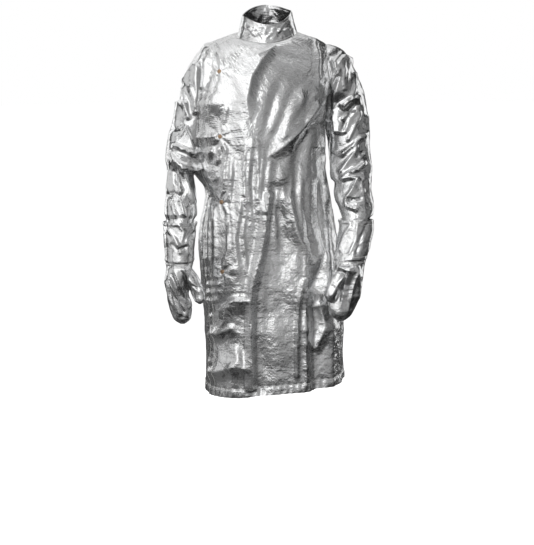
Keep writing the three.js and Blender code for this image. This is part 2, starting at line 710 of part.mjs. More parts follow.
function mittGeometry(rows, thumbRows, side) {
  const sections = evenly(mittSections(rows), mittRings, (section) => section);
  const root = new THREE.Vector3(
    side * (sections[0].out - sections[0].width + thumbRadius),
    -sections[1].forward - thumbRadius / 2,
    -sections[0].down - thumbRadius,
  );
  const hollow = sections.slice(0, -1);
  const tip = hollow.pop();
  const mouth = { ...hollow[0], down: hollow[0].down - clothWall };
  hollow.unshift(mouth);
  hollow.push({ ...tip, down: tip.down - clothWall });
  const hollowThumb = thumbRows.slice(0, -1);
  const solidOf = (rings) => toManifold(solidLoft(rings, -side));
  return fromManifold(
    solidOf(armRings(sections, side, 0))
      .add(solidOf(thumbOutlines(thumbRows, root, side, 0)))
      .subtract(solidOf(armRings(hollow, side, clothWall)))
      .subtract(solidOf(thumbOutlines(hollowThumb, root, side, clothWall))),
  );
}

const coatSolid = bodySolid(seamGap);

function sleeveSolids(rows, gauntletRows, side) {
  const sections = sleeveSections(rows, gauntletRows);
  const tube = toManifold(armTube(sections, side));
  const core = toManifold(solidLoft(armRings(sections.slice(0, coreRings), side, clothWall), -side));
  return { cloth: tube.subtract(coatSolid), core };
}

const rightSleeve = sleeveSolids(rightSleeveSections, rightGauntletSections, -1);
const leftSleeve = sleeveSolids(leftSleeveSections, leftGauntletSections, 1);

const flap = toManifold(flapGeometry()).subtract(leftSleeve.core);
const underlap = toManifold(underlapGeometry()).subtract(rightSleeve.core);
const back = toManifold(backGeometry()).subtract(leftSleeve.core).subtract(rightSleeve.core);

const coat = new THREE.Group();
const leftFront = piece("left_front_flap", fromManifold(flap), foil);
coat.add(leftFront);
coat.add(piece("right_front_underlap", fromManifold(underlap), foil));
coat.add(piece("back_panel", fromManifold(back), foil));
coat.add(piece("collar", collarGeometry(), foil));
coat.add(piece("right_sleeve", fromManifold(rightSleeve.cloth), foil));
coat.add(piece("left_sleeve", fromManifold(leftSleeve.cloth), foil));
coat.add(piece("right_gauntlet", armTube(gauntletSections(rightGauntletSections), -1), foil));
coat.add(piece("left_gauntlet", armTube(gauntletSections(leftGauntletSections), 1), foil));
coat.add(piece("right_mitt", mittGeometry(rightMittSections, rightThumbSections, -1), foil));
coat.add(piece("left_mitt", mittGeometry(leftMittSections, leftThumbSections, 1), foil));

// A snap cap is a low dome whose foot is flat on the flap.
function snapGeometry() {
  const profile = [
    new THREE.Vector2(0, 0),
    new THREE.Vector2(snapRadius, 0),
    new THREE.Vector2(snapRadius, snapHeight * snapFoot),
    new THREE.Vector2(snapRadius * snapCrown, snapHeight * snapShoulder),
    new THREE.Vector2(0, snapHeight),
  ];
  return new THREE.LatheGeometry(profile, snapSides);
}

// The place in bodySections that lies at a share of the coat's length.
function placeAtDown(share) {
  let above = 0;
  let below = bodySections.length - 1;
  for (let halving = 0; halving < snapHalvings; halving += 1) {
    const middle = (above + below) / 2;
    if (downAt(middle) < share) {
      above = middle;
    } else {
      below = middle;
    }
  }
  return above;
}

// Each cap stands on the highest cloth under its rim.
function placeSnap(row, index) {
  const place = placeAtDown(row.down);
  const edge = bodyPoint(place, flapAngle(place));
  const inner = bodyPoint(place, flapAngle(place) - snapSearchTurn);
  const turn = (snapSearchTurn * row.inset * snapInset) / edge.distanceTo(inner);
  const target = bodyPoint(place, flapAngle(place) - turn);
  const normal = bodyNormal(place, flapAngle(place) - turn);
  const lying = new THREE.Quaternion().setFromUnitVectors(new THREE.Vector3(0, 1, 0), normal);
  const caster = new THREE.Raycaster();
  let lift = -Infinity;
  for (let side = 0; side < snapSides; side += 1) {
    const turned = (2 * Math.PI * side) / snapSides;
    const start = new THREE.Vector3(Math.cos(turned), 0, Math.sin(turned));
    start.multiplyScalar(snapRadius).setY(facingWidth);
    start.applyQuaternion(lying).add(target);
    caster.set(start, normal.clone().negate());
    const hit = caster.intersectObject(leftFront)[0];
    lift = Math.max(lift, facingWidth - hit.distance);
  }
  const cap = piece(`snap_cap_${index + 1}`, snapGeometry(), brass);
  cap.quaternion.copy(lying);
  cap.position.copy(target).addScaledVector(normal, lift + seamGap);
  return cap;
}

snapRows.forEach((row, index) => coat.add(placeSnap(row, index)));

export default coat;
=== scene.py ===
"""Looks for an aluminized coat and its gauntlet mittens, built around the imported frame."""

import math

import bpy
import numpy as np
from mathutils import Matrix, Vector


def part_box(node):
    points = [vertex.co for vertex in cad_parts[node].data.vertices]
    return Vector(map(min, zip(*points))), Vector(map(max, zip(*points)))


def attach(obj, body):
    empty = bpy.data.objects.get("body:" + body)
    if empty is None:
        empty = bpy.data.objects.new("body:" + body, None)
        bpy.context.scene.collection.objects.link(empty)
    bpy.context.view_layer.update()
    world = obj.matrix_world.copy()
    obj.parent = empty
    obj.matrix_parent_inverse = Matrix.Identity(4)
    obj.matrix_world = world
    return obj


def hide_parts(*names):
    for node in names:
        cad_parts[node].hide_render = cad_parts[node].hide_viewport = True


bl_info = {
    "name": "Aluminized suit",
    "version": (1, 0, 0),
    "blender": (4, 5, 0),
    "location": "3D View > Sidebar > Suit",
    "description": "Builds a foil-faced coat with its mittens, stitching and snaps",
    "category": "Object",
}

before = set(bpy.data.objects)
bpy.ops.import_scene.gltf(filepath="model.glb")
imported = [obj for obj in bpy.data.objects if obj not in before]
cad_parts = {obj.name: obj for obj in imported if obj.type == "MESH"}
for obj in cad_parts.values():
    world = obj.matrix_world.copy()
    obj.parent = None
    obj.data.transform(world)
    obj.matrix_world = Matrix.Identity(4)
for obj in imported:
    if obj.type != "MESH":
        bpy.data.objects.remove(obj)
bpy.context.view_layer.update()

# The coat's driving sizes, in millimetres, as in the solids.
COAT_LENGTH = 1032
HALF_WIDTH = 230
HALF_DEPTH = 159
SIDE_SEAM_TURN = 5
WEB_ANGLE = 188
WEB_SPREAD = 34
FOLD_RISE = 1 / 3
FOLD_FADE = 1 / 12
COLLAR_HEIGHT = 62
COLLAR_WALL = 2.5
COLLAR_FLAP_ANGLE = 157
COLLAR_UNDER_ANGLE = 108
COLLAR_TUCK_TURN = 26
COLLAR_TUCK_END = 4
COLLAR_LEAN = 0.19
COLLAR_DEEPEN = 0.1
COLLAR_FRONT_DIP = 0.16
COLLAR_BACK_RISE = 0.04
SLEEVE_LENGTH = 548
ARM_REACH = HALF_WIDTH + 78
SLEEVE_WIDTH = 130
SLEEVE_HALF_DEPTH = 66
HAND_FORWARD = 168
GAUNTLET_LAP = 12
GAUNTLET_LENGTH = 112
GAUNTLET_WIDTH = 96
MITT_LENGTH = 172
MITT_WIDTH = 92
MITT_HALF_DEPTH = 45
THUMB_LENGTH = 100
THUMB_RADIUS = 20
FIT_GAP = 0.6
SEAM_GAP = 0.3
LAYER_GAP = 0.6
GAUNTLET_TOP = SLEEVE_LENGTH - GAUNTLET_LAP
WRIST_DOWN = GAUNTLET_TOP + GAUNTLET_LENGTH
SLIVER = 1e-6
LINE_STEPS = 900    # along each line that is divided evenly

# The view that the placed folds are measured in.
VIEW_AZIMUTH = -12.0
VIEW_ELEVATION = 8.6
VIEW_DISTANCE = 4200.0
VIEW_TARGET = np.array([1.0, 0.0, -700.0])
VIEW_LENS = 94.0
VIEW_SENSOR = 36.0
VIEW_FRAME = (534, 545)
VIEW_FOCUS = VIEW_LENS / VIEW_SENSOR * max(VIEW_FRAME)


def direction(azimuth, elevation):
    """Direction from a middle, with azimuth from the front towards the coat's left."""
    turn, rise = math.radians(azimuth), math.radians(elevation)
    return np.array([math.sin(turn) * math.cos(rise), -math.cos(turn) * math.cos(rise), math.sin(rise)])


def view_axes():
    """The view's directions: to its right, up, and from the target back to the camera."""
    turn = math.radians(VIEW_AZIMUTH)
    back = direction(VIEW_AZIMUTH, VIEW_ELEVATION)
    right = np.array([math.cos(turn), math.sin(turn), 0.0])
    return right, np.cross(back, right), back


VIEW_RIGHT, VIEW_UP, VIEW_BACK = view_axes()
VIEW_EYE = VIEW_TARGET + VIEW_BACK * VIEW_DISTANCE
LIT_SIDE = np.array([-1.0, -0.6])  # the side of a fold that counts as lit: left and up


def table(columns, rows):
    """A table's columns by name."""
    return dict(zip(columns.split(), np.array(rows, float).T))


# Body sections from the collar seam to the hem, as in the solids.
BODY = table("down right left front back square front_down back_up web flap tilt", [
    (0.008, 0.378, 0.383, 0.49, 0.45, 2.00, 0.150, 0.140, 0.00, 181, 0.055),
    (0.010, 0.480, 0.500, 0.53, 0.52, 2.05, 0.190, 0.125, 0.00, 181, 0.012),
    (0.020, 0.610, 0.640, 0.58, 0.58, 2.15, 0.265, 0.090, 0.00, 180, 0.007),
    (0.032, 0.730, 0.745, 0.64, 0.64, 2.30, 0.390, 0.020, 0.00, 177, 0.002),
    (0.055, 0.800, 0.790, 0.70, 0.71, 2.45, 0.470, -0.050, 0.00, 172, -0.011),
    (0.097, 0.825, 0.815, 0.74, 0.75, 2.60, 0.460, -0.050, 0.00, 168, -0.019),
    (0.150, 0.845, 0.790, 0.78, 0.76, 2.60, 0.340, 0.000, 0.02, 167, 0.000),
    (0.205, 0.855, 0.750, 0.80, 0.77, 2.60, 0.190, 0.000, 0.06, 167, 0.000),
    (0.260, 0.850, 0.735, 0.82, 0.77, 2.60, 0.070, 0.000, 0.12, 166, 0.000),
    (0.325, 0.830, 0.735, 0.83, 0.77, 2.60, 0.010, 0.000, 0.13, 167, 0.000),
    (0.385, 0.810, 0.745, 0.85, 0.78, 2.60, 0.000, 0.000, 0.13, 168, 0.000),
    (0.430, 0.785, 0.780, 0.86, 0.78, 2.60, 0.000, 0.000, 0.01, 169, 0.000),
    (0.475, 0.790, 0.820, 0.87, 0.79, 2.60, 0.000, 0.000, 0.00, 170, 0.000),
    (0.530, 0.845, 0.870, 0.88, 0.80, 2.60, 0.000, 0.000, 0.00, 168, 0.000),
    (0.595, 0.870, 0.920, 0.90, 0.81, 2.60, 0.000, 0.000, 0.00, 167, 0.000),
    (0.660, 0.850, 0.950, 0.92, 0.82, 2.60, 0.000, 0.000, 0.00, 168, 0.000),
    (0.745, 0.815, 0.975, 0.94, 0.84, 2.60, 0.000, 0.000, 0.00, 170, 0.020),
    (0.830, 0.785, 0.990, 0.96, 0.86, 2.60, 0.000, 0.000, 0.00, 171, 0.045),
    (0.915, 0.775, 0.995, 0.98, 0.88, 2.60, 0.000, 0.000, 0.00, 171, 0.070),
    (1.000, 0.790, 1.000, 1.00, 0.89, 2.60, 0.000, 0.000, 0.00, 170, 0.090),
])

# Standing folds of the body, as in the solids: angle and lean in degrees, top and bottom as
# shares of the coat's length, width in radians and depth as a share of the half depth.
BODY_FOLDS = [
    (84, 22, 0.05, 0.30, 0.21, -0.045),
    (72, 16, 0.10, 0.42, 0.20, 0.040),
    (60, 24, 0.22, 0.45, 0.20, -0.050),
    (86, 18, 0.40, 1.04, 0.22, -0.080),
    (78, -2, 0.46, 1.04, 0.20, 0.062),
    (64, -2, 0.48, 1.04, 0.22, -0.075),
    (48, 6, 0.40, 1.04, 0.24, 0.060),
    (120, 4, 0.45, 1.04, 0.30, 0.050),
    (20, 0, 0.50, 1.04, 0.30, -0.050),
    (222, -6, 0.34, 1.04, 0.34, 0.080),
    (246, -2, 0.30, 1.04, 0.30, -0.090),
    (270, 2, 0.38, 1.04, 0.34, 0.085),
    (296, 4, 0.30, 1.04, 0.30, -0.090),
    (318, 4, 0.34, 1.04, 0.34, 0.080),
]

# Arm sections, as in the solids, for the coat's own right (-1) and left (1), as it is worn.
SLEEVES = {
    -1: table("down out tilt width depth forward", [
        (0.056, 0.450, 80, 1.25, 0.94, -0.09),
        (0.058, 0.576, 70, 1.27, 1.13, -0.09),
        (0.102, 0.646, 55, 1.18, 1.20, -0.08),
        (0.163, 0.716, 42, 1.08, 1.20, -0.08),
        (0.245, 0.784, 28, 0.99, 1.15, -0.07),
        (0.352, 0.834, 18, 0.92, 1.06, -0.06),
        (0.431, 0.883, 12, 0.88, 1.00, -0.05),
        (0.520, 0.922, 9, 0.84, 0.98, -0.02),
        (0.593, 0.957, 14, 0.82, 0.97, 0.03),
        (0.655, 0.972, 16, 0.84, 1.02, 0.08),
        (0.690, 0.966, 14, 0.72, 0.86, 0.07),
        (0.726, 0.962, 8, 0.63, 0.80, 0.07),
        (0.790, 0.966, 5, 0.64, 0.82, 0.12),
        (0.867, 0.981, 3, 0.68, 0.80, 0.19),
        (0.940, 0.995, 1, 0.70, 0.77, 0.27),
    ]),
    1: table("down out tilt width depth forward", [
        (0.052, 0.450, 80, 1.24, 0.94, -0.08),
        (0.063, 0.620, 66, 1.23, 1.12, -0.07),
        (0.088, 0.727, 56, 1.21, 1.18, -0.06),
        (0.119, 0.781, 48, 1.16, 1.20, -0.05),
        (0.173, 0.831, 38, 1.09, 1.18, -0.05),
        (0.237, 0.883, 28, 1.03, 1.14, -0.04),
        (0.314, 0.942, 20, 1.00, 1.08, -0.02),
        (0.409, 0.981, 12, 1.00, 1.02, 0.01),
        (0.540, 0.998, 6, 1.00, 0.98, 0.07),
        (0.630, 0.995, 10, 0.98, 0.96, 0.14),
        (0.706, 0.998, 12, 0.96, 0.98, 0.23),
        (0.760, 0.985, 8, 0.86, 0.86, 0.32),
        (0.830, 0.962, 5, 0.82, 0.79, 0.42),
        (0.895, 0.972, 2, 0.82, 0.79, 0.51),
        (0.950, 0.962, 0, 0.76, 0.73, 0.59),
    ]),
}
GAUNTLETS = {
    -1: table("down out width depth forward", [
        (0.00, 1.010, 0.96, 0.84, 0.33),
        (0.35, 1.014, 0.93, 0.81, 0.39),
        (0.72, 1.013, 0.87, 0.76, 0.45),
        (1.00, 1.010, 0.83, 0.70, 0.50),
    ]),
    1: table("down out width depth forward", [
        (0.00, 0.931, 0.98, 0.82, 0.64),
        (0.20, 0.940, 1.03, 0.81, 0.69),
        (0.50, 0.918, 1.02, 0.77, 0.74),
        (1.00, 0.851, 0.98, 0.69, 0.83),
    ]),
}
MITTS = {
    -1: table("down out width depth forward", [
        (0.00, 1.010, 0.86, 1.00, 0.50),
        (0.25, 1.019, 0.78, 0.88, 0.56),
        (0.50, 1.016, 0.68, 0.76, 0.61),
        (0.75, 0.997, 0.70, 0.66, 0.66),
        (0.92, 0.961, 0.54, 0.50, 0.69),
        (1.00, 0.900, 0.16, 0.16, 0.71),
    ]),
    1: table("down out width depth forward", [
        (0.00, 0.851, 1.02, 1.00, 0.83),
        (0.22, 0.821, 0.93, 0.88, 0.88),
        (0.48, 0.799, 0.89, 0.78, 0.93),
        (0.70, 0.753, 0.92, 0.69, 0.96),
        (0.90, 0.701, 0.70, 0.54, 0.99),
        (1.00, 0.625, 0.20, 0.18, 1.00),
    ]),
}
THUMBS = {
    -1: table("inward down ahead size", [
        (-0.18, -0.14, 0.00, 0.86),
        (0.04, 0.14, 0.08, 1.08),
        (0.18, 0.42, 0.16, 1.02),
        (0.28, 0.68, 0.22, 0.92),
        (0.31, 0.88, 0.26, 0.66),
        (0.31, 0.96, 0.27, 0.18),
    ]),
    1: table("inward down ahead size", [
        (-0.20, -0.12, 0.04, 0.90),
        (0.02, 0.12, 0.12, 1.12),
        (0.24, 0.42, 0.20, 1.02),
        (0.38, 0.68, 0.26, 0.94),
        (0.40, 0.88, 0.29, 0.66),
        (0.38, 0.97, 0.30, 0.18),
    ]),
}

# Placed folds: rise is the crest's height in millimetres, or a valley's depth below
# nought; lit and shade are the widths of its slopes towards the view's upper left and
# lower right; crest is 1 for a sharp crease, 2 for a round one and 3 for a sharp one that
# dies away slowly; path is in the view.
FRONT_FOLDS = [
    (18, 64, 28, 3, [(288, 34), (275, 46), (261, 61), (251, 78), (247, 100), (249, 124)]),
    (9, 62, 74, 2, [(247, 84), (248, 110), (250, 132), (255, 170)]),
    (4, 12, 18, 1, [(237, 45), (248, 47), (262, 43)]),
    (5, 22, 10, 1, [(277, 43), (268, 50), (254, 57.5)]),
    (15, 54, 34, 3, [(334, 88), (314, 111), (298, 131), (284, 146), (264, 160), (252, 166)]),
    (6, 34, 20, 1, [(271, 158), (267, 193), (264, 215)]),
    (22, 18, 25, 1, [(268, 190), (262, 232), (258, 256), (254, 272), (250, 292), (249.5, 340), (250, 392)]),
    (7, 30, 115, 2, [(263, 200), (263, 300), (263, 430)]),
    (10, 26, 50, 3, [(281, 156), (283, 200), (293, 250)]),
    (10, 10, 12, 1, [(303, 278), (299, 300), (297, 330), (297, 380)]),
    (5, 9, 12, 1, [(305, 240), (305, 300), (306, 388)]),
    (-13, 30, 44, 1, [(320, 146), (320, 176), (319, 216), (323, 238), (326, 250), (321, 268), (311, 292)]),
    (5, 18, 12, 1, [(304, 124), (312, 113), (321, 101)]),
    (-8, 10, 22, 1, [(306, 125), (328, 124)]),
    (6, 14, 14, 1, [(318, 144), (318, 182)]),
    (-0.5, 6, 6, 1, [(206, 239), (338, 237)]),
    (-0.4, 6, 6, 1, [(206, 266), (338, 265)]),
    (-0.5, 6, 6, 1, [(206, 293.5), (338, 292)]),
    (-0.4, 6, 6, 1, [(206, 305.5), (338, 304)]),
    (-0.5, 6, 6, 1, [(206, 319), (338, 318)]),
    (14, 14, 46, 1, [(227, 303), (236, 300), (250, 300)]),
    (12, 60, 36, 1, [(203, 373), (222, 371), (234, 367), (250, 370)]),
    (4, 16, 24, 1, [(187, 50), (206, 50), (214, 52)]),
    (-7, 20, 24, 1, [(187, 69), (212, 69)]),
    (5, 14, 12, 1, [(217, 50), (223, 66)]),
    (16, 80, 64, 3, [(168, 103.5), (214, 103.5), (236, 104)]),
    (5, 10, 12, 1, [(228, 105), (224, 120), (221, 133)]),
    (9, 18, 28, 1, [(187, 137.5), (212, 137), (222, 135)]),
    (11, 12, 36, 1, [(187, 152), (210, 151.5), (217, 149)]),
    (7, 14, 10, 1, [(219, 145), (218.5, 158), (216, 166)]),
    (6, 14, 10, 1, [(221, 141), (226, 150), (225, 164), (224, 196)]),
    (-6, 9, 10, 1, [(205, 199), (212, 197), (221, 202)]),
    (2.5, 6, 6, 1, [(207, 176), (213, 180), (218, 179)]),
    (2.5, 6, 6, 1, [(207, 187), (211, 184.5), (215, 188), (219, 186)]),
    (6, 10, 8, 1, [(222, 200), (228, 212), (228.5, 250), (223, 270)]),
    (5, 9, 9, 1, [(215, 206), (215.5, 262)]),
    (4, 8, 8, 1, [(210, 206), (209, 262)]),
    (4, 9, 9, 1, [(202, 277), (222, 276)]),
    (4, 9, 8, 1, [(202, 285), (223, 284)]),
    (4, 9, 9, 1, [(202, 293), (222, 292)]),
    (4, 9, 9, 1, [(202, 301), (221, 300)]),
    (4, 16, 10, 1, [(315, 37), (319, 56), (318.5, 87)]),
    (-5, 9, 10, 1, [(326, 55), (330, 67), (323, 86)]),
    (8, 34, 24, 2, [(279, 68), (266, 100), (254, 146)]),
    (10, 42, 26, 2, [(295, 74), (280, 104), (262, 150)]),
    (10, 44, 24, 2, [(310, 80), (293, 110), (273, 152)]),
    (4, 18, 14, 2, [(297, 86), (303, 98), (299, 112)]),
    (5, 22, 14, 2, [(300, 120), (287, 134), (277, 143)]),
    (8, 26, 12, 3, [(253, 132), (250, 158), (248, 184), (253, 232)]),
    (6, 13, 9, 3, [(246, 128), (244, 172), (247, 226)]),
    (6, 15, 9, 3, [(258, 134), (258, 178), (255, 230)]),
    (5, 12, 8, 3, [(235, 140), (231, 196), (234, 250)]),
    (5, 12, 8, 3, [(247, 196), (243, 236), (249, 284)]),
    (7, 22, 11, 3, [(264, 140), (260, 196), (264, 252)]),
    (7, 24, 14, 3, [(239, 152), (241, 205), (235, 240), (240, 290)]),
    (6, 16, 10, 3, [(230, 142), (231, 178), (226, 214)]),
    (9, 22, 16, 3, [(292, 160), (290, 200), (298, 236), (314, 270)]),
    (6, 18, 14, 3, [(281, 168), (274, 212), (277, 268)]),
    (6, 16, 12, 3, [(302, 160), (300, 206), (305, 256)]),
    (12, 26, 26, 1, [(229, 302), (225, 322), (214, 336)]),
    (9, 18, 28, 1, [(203, 333), (218, 335), (236, 326)]),
    (6, 22, 20, 1, [(234, 344), (239, 360), (229, 374)]),
    (9, 20, 26, 1, [(318, 300), (325, 326), (314, 352)]),
    (5, 18, 14, 1, [(212, 312), (214, 340), (211, 366)]),
]
SLEEVE_FOLDS = {
    -1: [
        (8, 20, 12, 1, [(191, 84), (195, 100), (197, 116)]),
        (7, 14, 12, 1, [(183, 84), (186, 104), (189, 121)]),
        (10, 8, 30, 1, [(197, 62), (189, 74), (182, 85)]),
        (12, 10, 58, 1, [(168, 104), (178, 102.5), (190, 104)]),
        (-6, 14, 14, 1, [(168, 127), (185, 129)]),
        (9, 12, 14, 1, [(171, 144.5), (184, 149.5), (194, 155), (204.5, 166)]),
        (10, 14, 12, 1, [(170.3, 150), (174.6, 160), (184, 167), (198, 169.8), (205, 165)]),
        (11, 34, 9, 1, [(184, 124), (191, 140), (197, 157)]),
        (8, 12, 20, 1, [(180, 166), (188, 185), (195, 206)]),
        (-5, 8, 8, 1, [(174, 166), (176, 186)]),
        (5, 10, 8, 1, [(178, 169), (181, 195)]),
        (5, 8, 8, 1, [(169, 168), (168, 192)]),
        (-5, 10, 10, 1, [(163, 196), (173, 193), (181, 197), (186, 191)]),
        (5, 8, 10, 1, [(171, 197), (177, 220)]),
        (6, 10, 10, 1, [(180, 198), (185, 220)]),
        (5, 9, 10, 1, [(189, 206), (191, 220)]),
        (6, 12, 18, 1, [(206, 53), (199, 64), (196, 80), (199, 104)]),
        (-5, 9, 9, 1, [(201, 86), (200, 108)]),
        (-8, 10, 8, 1, [(208, 47), (202, 62), (200, 90), (200, 120), (202, 148), (205, 172)]),
    ],
    1: [
        (15, 9, 44, 1, [
            (330, 59), (334, 63), (334.8, 68.7), (338.8, 76.7),
            (336.8, 84.8), (334.3, 95), (334.8, 112), (337, 136),
        ]),
        (-7, 8, 8, 1, [(328, 56), (335, 53), (342, 50.5)]),
        (6, 14, 10, 1, [(356, 70), (355, 88), (350, 100), (342, 109)]),
        (13, 8, 36, 1, [(336, 66), (344, 57), (356, 62)]),
        (6, 8, 20, 1, [(344, 66), (342, 80), (345, 92)]),
        (12, 8, 40, 1, [(338, 106), (350, 99), (362, 96)]),
        (8, 8, 36, 1, [(340, 120), (352, 113), (364, 112)]),
        (-8, 9, 10, 1, [(359, 102), (347, 118), (341, 133)]),
        (8, 16, 8, 1, [(368, 112), (368, 134)]),
        (5, 12, 8, 1, [(362, 112), (355, 126), (347, 143)]),
        (10, 12, 16, 1, [(370, 134), (358.6, 139), (352.3, 146), (338.5, 157)]),
        (9, 14, 14, 1, [(357.5, 143), (355, 151.4), (349.4, 159.4), (338.5, 175)]),
        (-7, 10, 10, 1, [(354, 156), (367, 151)]),
        (9, 12, 12, 1, [(367, 161), (357.5, 170), (347, 174.3), (339.5, 181)]),
        (9, 10, 14, 1, [
            (340, 180), (349.4, 177.2), (357, 178.5), (351.7, 191), (346.5, 198.4), (345.4, 206),
        ]),
        (-8, 10, 10, 1, [(345, 201), (364, 198)]),
        (8, 10, 10, 1, [(343, 204), (350, 207.5), (360, 211)]),
        (5, 8, 8, 1, [(329, 149), (342, 157)]),
        (5, 10, 12, 1, [(360, 180), (364, 196)]),
        (5, 10, 14, 1, [(332, 160), (334, 185), (336, 205)]),
        (-9, 6, 10, 1, [(329, 56), (331, 76), (328, 98), (328, 126), (327, 150), (330, 172)]),
    ],
}
GAUNTLET_FOLDS = {
    -1: [
        (4.5, 12, 9, 1, [(166, 226), (176, 240), (182, 256)]),
        (4, 10, 9, 1, [(194, 225), (187, 240), (189, 257)]),
        (-4, 10, 10, 1, [(170, 242), (178, 250), (190, 246)]),
        (3.5, 9, 9, 1, [(176, 221), (184, 232), (181, 244)]),
    ],
    1: [
        (6, 9, 14, 1, [(350.3, 217), (350.3, 226), (345.7, 233.6), (342.7, 241.2), (338.6, 254)]),
        (-4.5, 10, 10, 1, [(368, 222), (361, 238), (355, 257)]),
        (4, 10, 10, 1, [(358, 220), (356, 240), (348, 257)]),
        (4, 9, 9, 1, [(366, 238), (357, 246), (352, 257)]),
    ],
}
MITT_FOLDS = {
    -1: [
        (14, 30, 95, 2, [(164, 268), (180, 268), (194, 272)]),
        (-6, 5, 16, 1, [(172, 274), (178, 296), (184, 316)]),
        (7, 6, 20, 1, [(181, 266), (188, 290), (190, 310)]),
        (6, 6, 18, 1, [(171, 274), (174, 298), (180, 318)]),
        (7, 5, 16, 3, [(168, 258), (171, 280), (177, 297), (188, 316)]),
        (7, 5, 16, 3, [(173, 262), (179, 286), (190, 308)]),
        (5, 5, 12, 3, [(164, 268), (168, 294), (179, 320)]),
    ],
    1: [
        (9, 12, 80, 1, [(338, 268), (350, 268), (360, 266)]),
        (6, 8, 14, 3, [(354, 254), (345, 284), (338, 320)]),
        (6, 7, 12, 3, [(361, 256), (353, 286), (347, 318)]),
        (5, 10, 10, 1, [(344, 258), (337, 276), (331, 296)]),
        (4, 9, 8, 1, [(336, 262), (346, 270), (356, 272)]),
    ],
}
THUMB_FOLDS = {
    -1: [
        (3, 4, 10, 1, [(192, 272), (198, 282), (201, 294)]),
        (-3, 5, 6, 1, [(190, 284), (197, 288), (205, 286)]),
        (2.5, 5, 8, 1, [(197, 270), (203, 280), (205, 292)]),
    ],
    1: [
        (4, 5, 12, 1, [(341, 270), (333, 278), (325, 292)]),
        (-3, 5, 6, 1, [(326, 280), (334, 284), (340, 290)]),
        (2.5, 4, 8, 1, [(346, 274), (338, 284), (330, 298)]),
    ],
}
COLLAR_FOLDS = [
    (4.5, 5, 15, 1, [(256, 24), (264, 25), (271, 24)]),
    (4.0, 6, 15, 1, [(241, 22), (249, 29), (257, 38)]),
    (3.6, 6, 14, 1, [(270, 27), (282, 31), (291, 28)]),
    (3.6, 5, 13, 1, [(254, 33), (261, 31), (268, 33)]),
    (2.4, 8, 10, 1, [(240, 38), (247, 30), (255, 26)]),
    (2.2, 8, 8, 1, [(243, 41), (251, 35), (258, 27)]),
    (-2.2, 7, 7, 1, [(263, 25), (263, 34)]),
    (2.0, 8, 9, 1, [(242, 18), (251, 27), (262, 40)]),
    (2.0, 9, 8, 1, [(289, 17), (281, 28), (272, 41)]),
    (-2.0, 8, 8, 1, [(275, 26), (281, 40)]),
    (1.8, 7, 7, 1, [(264, 40), (272, 33), (284, 30)]),
]


def smooth(value, low, high):
    """Rises smoothly from 0 at low to 1 at high."""
    t = np.clip((value - low) / (high - low), 0, 1)
    return t * t * (3 - 2 * t)


def ridge(distance, width):
    """A round ridge, 1 where distance is 0 and fading over a width on both sides."""
    return np.exp(-((distance / width) ** 2))


def curve(column, place):
    """Values of a table's column at places between its rows, on a smooth curve."""
    last = len(column) - 1
    row = np.clip(np.floor(place).astype(int), 0, last - 1)
    t = place - row
    before, start = column[np.maximum(row - 1, 0)], column[row]
    end, after = column[row + 1], column[np.minimum(row + 2, last)]
    return (
        start * (2 * t**3 - 3 * t**2 + 1)
        + (end - before) / 2 * (t**3 - 2 * t**2 + t)
        + end * (3 * t**2 - 2 * t**3)
        + (after - start) / 2 * (t**3 - t**2)
    )


def squared(value, square):
    """A sine or cosine, pushed outwards into a squarer section."""
    return np.sign(value) * np.abs(value) ** (2 / square)


def standing_folds(angle, down):
    """Depth of the body's standing folds, in millimetres."""
    depth = np.zeros(np.broadcast(angle, down).shape)
    for fold_angle, lean, top, bottom, width, rise in BODY_FOLDS:
        along = (down - top) / (bottom - top)
        across = np.radians(angle - fold_angle - lean * along) / width
        inside = (along > 0) & (along < 1) & (np.abs(across) < 1)
        strength = np.minimum(1, along / FOLD_RISE) * np.minimum(1, (1 - along) / FOLD_FADE)
        depth += np.where(inside, rise * HALF_DEPTH * (1 - across**2) ** 2 * strength, 0)
    return depth


def body_point(place, angle):
    """Points of the coat's plain outer surface; angle runs from its left side by the front."""
    at = {name: curve(column, place) for name, column in BODY.items()}
    cos = squared(np.cos(np.radians(angle)), at["square"])
    sin = squared(np.sin(np.radians(angle)), at["square"])
    web = at["web"] * ridge(angle - WEB_ANGLE, WEB_SPREAD)
    side = np.where(cos > 0, at["left"], at["right"] + web)
    depth = np.where(sin > 0, at["front"], at["back"])
    drop = np.where(sin > 0, -at["front_down"], at["back_up"]) * sin**2
    reach = np.hypot(cos * HALF_WIDTH, sin * HALF_DEPTH)
    push = 1 + standing_folds(angle % 360, at["down"]) / reach
    return np.stack([
        side * HALF_WIDTH * cos * push,
        -depth * HALF_DEPTH * sin * push,
        -at["down"] * COAT_LENGTH + (drop + at["tilt"] * cos) * HALF_DEPTH,
    ], -1)


def lengths(points):
    """Running length along the last-but-one axis of points, from nought."""
    steps = np.linalg.norm(np.diff(points, axis=-2), axis=-1)
    start = np.zeros(steps.shape[:-1] + (1,))
    return np.concatenate([start, np.cumsum(steps, -1)], -1)


def even_places(point_at, first, last, count):
    """Places at even distances along a line of the surface."""
    fine = np.linspace(first, last, LINE_STEPS)
    run = lengths(point_at(fine))
    return np.interp(np.linspace(0, run[-1], count), run, fine)


def grid_normals(grid, closed, facing):
    """Outward directions at a grid's points."""
    if closed:
        across = np.roll(grid, -1, 1) - np.roll(grid, 1, 1)
    else:
        across = np.gradient(grid, axis=1)
    normal = np.cross(across, np.gradient(grid, axis=0)) * facing
    return normal / np.maximum(np.linalg.norm(normal, axis=-1, keepdims=True), SLIVER)


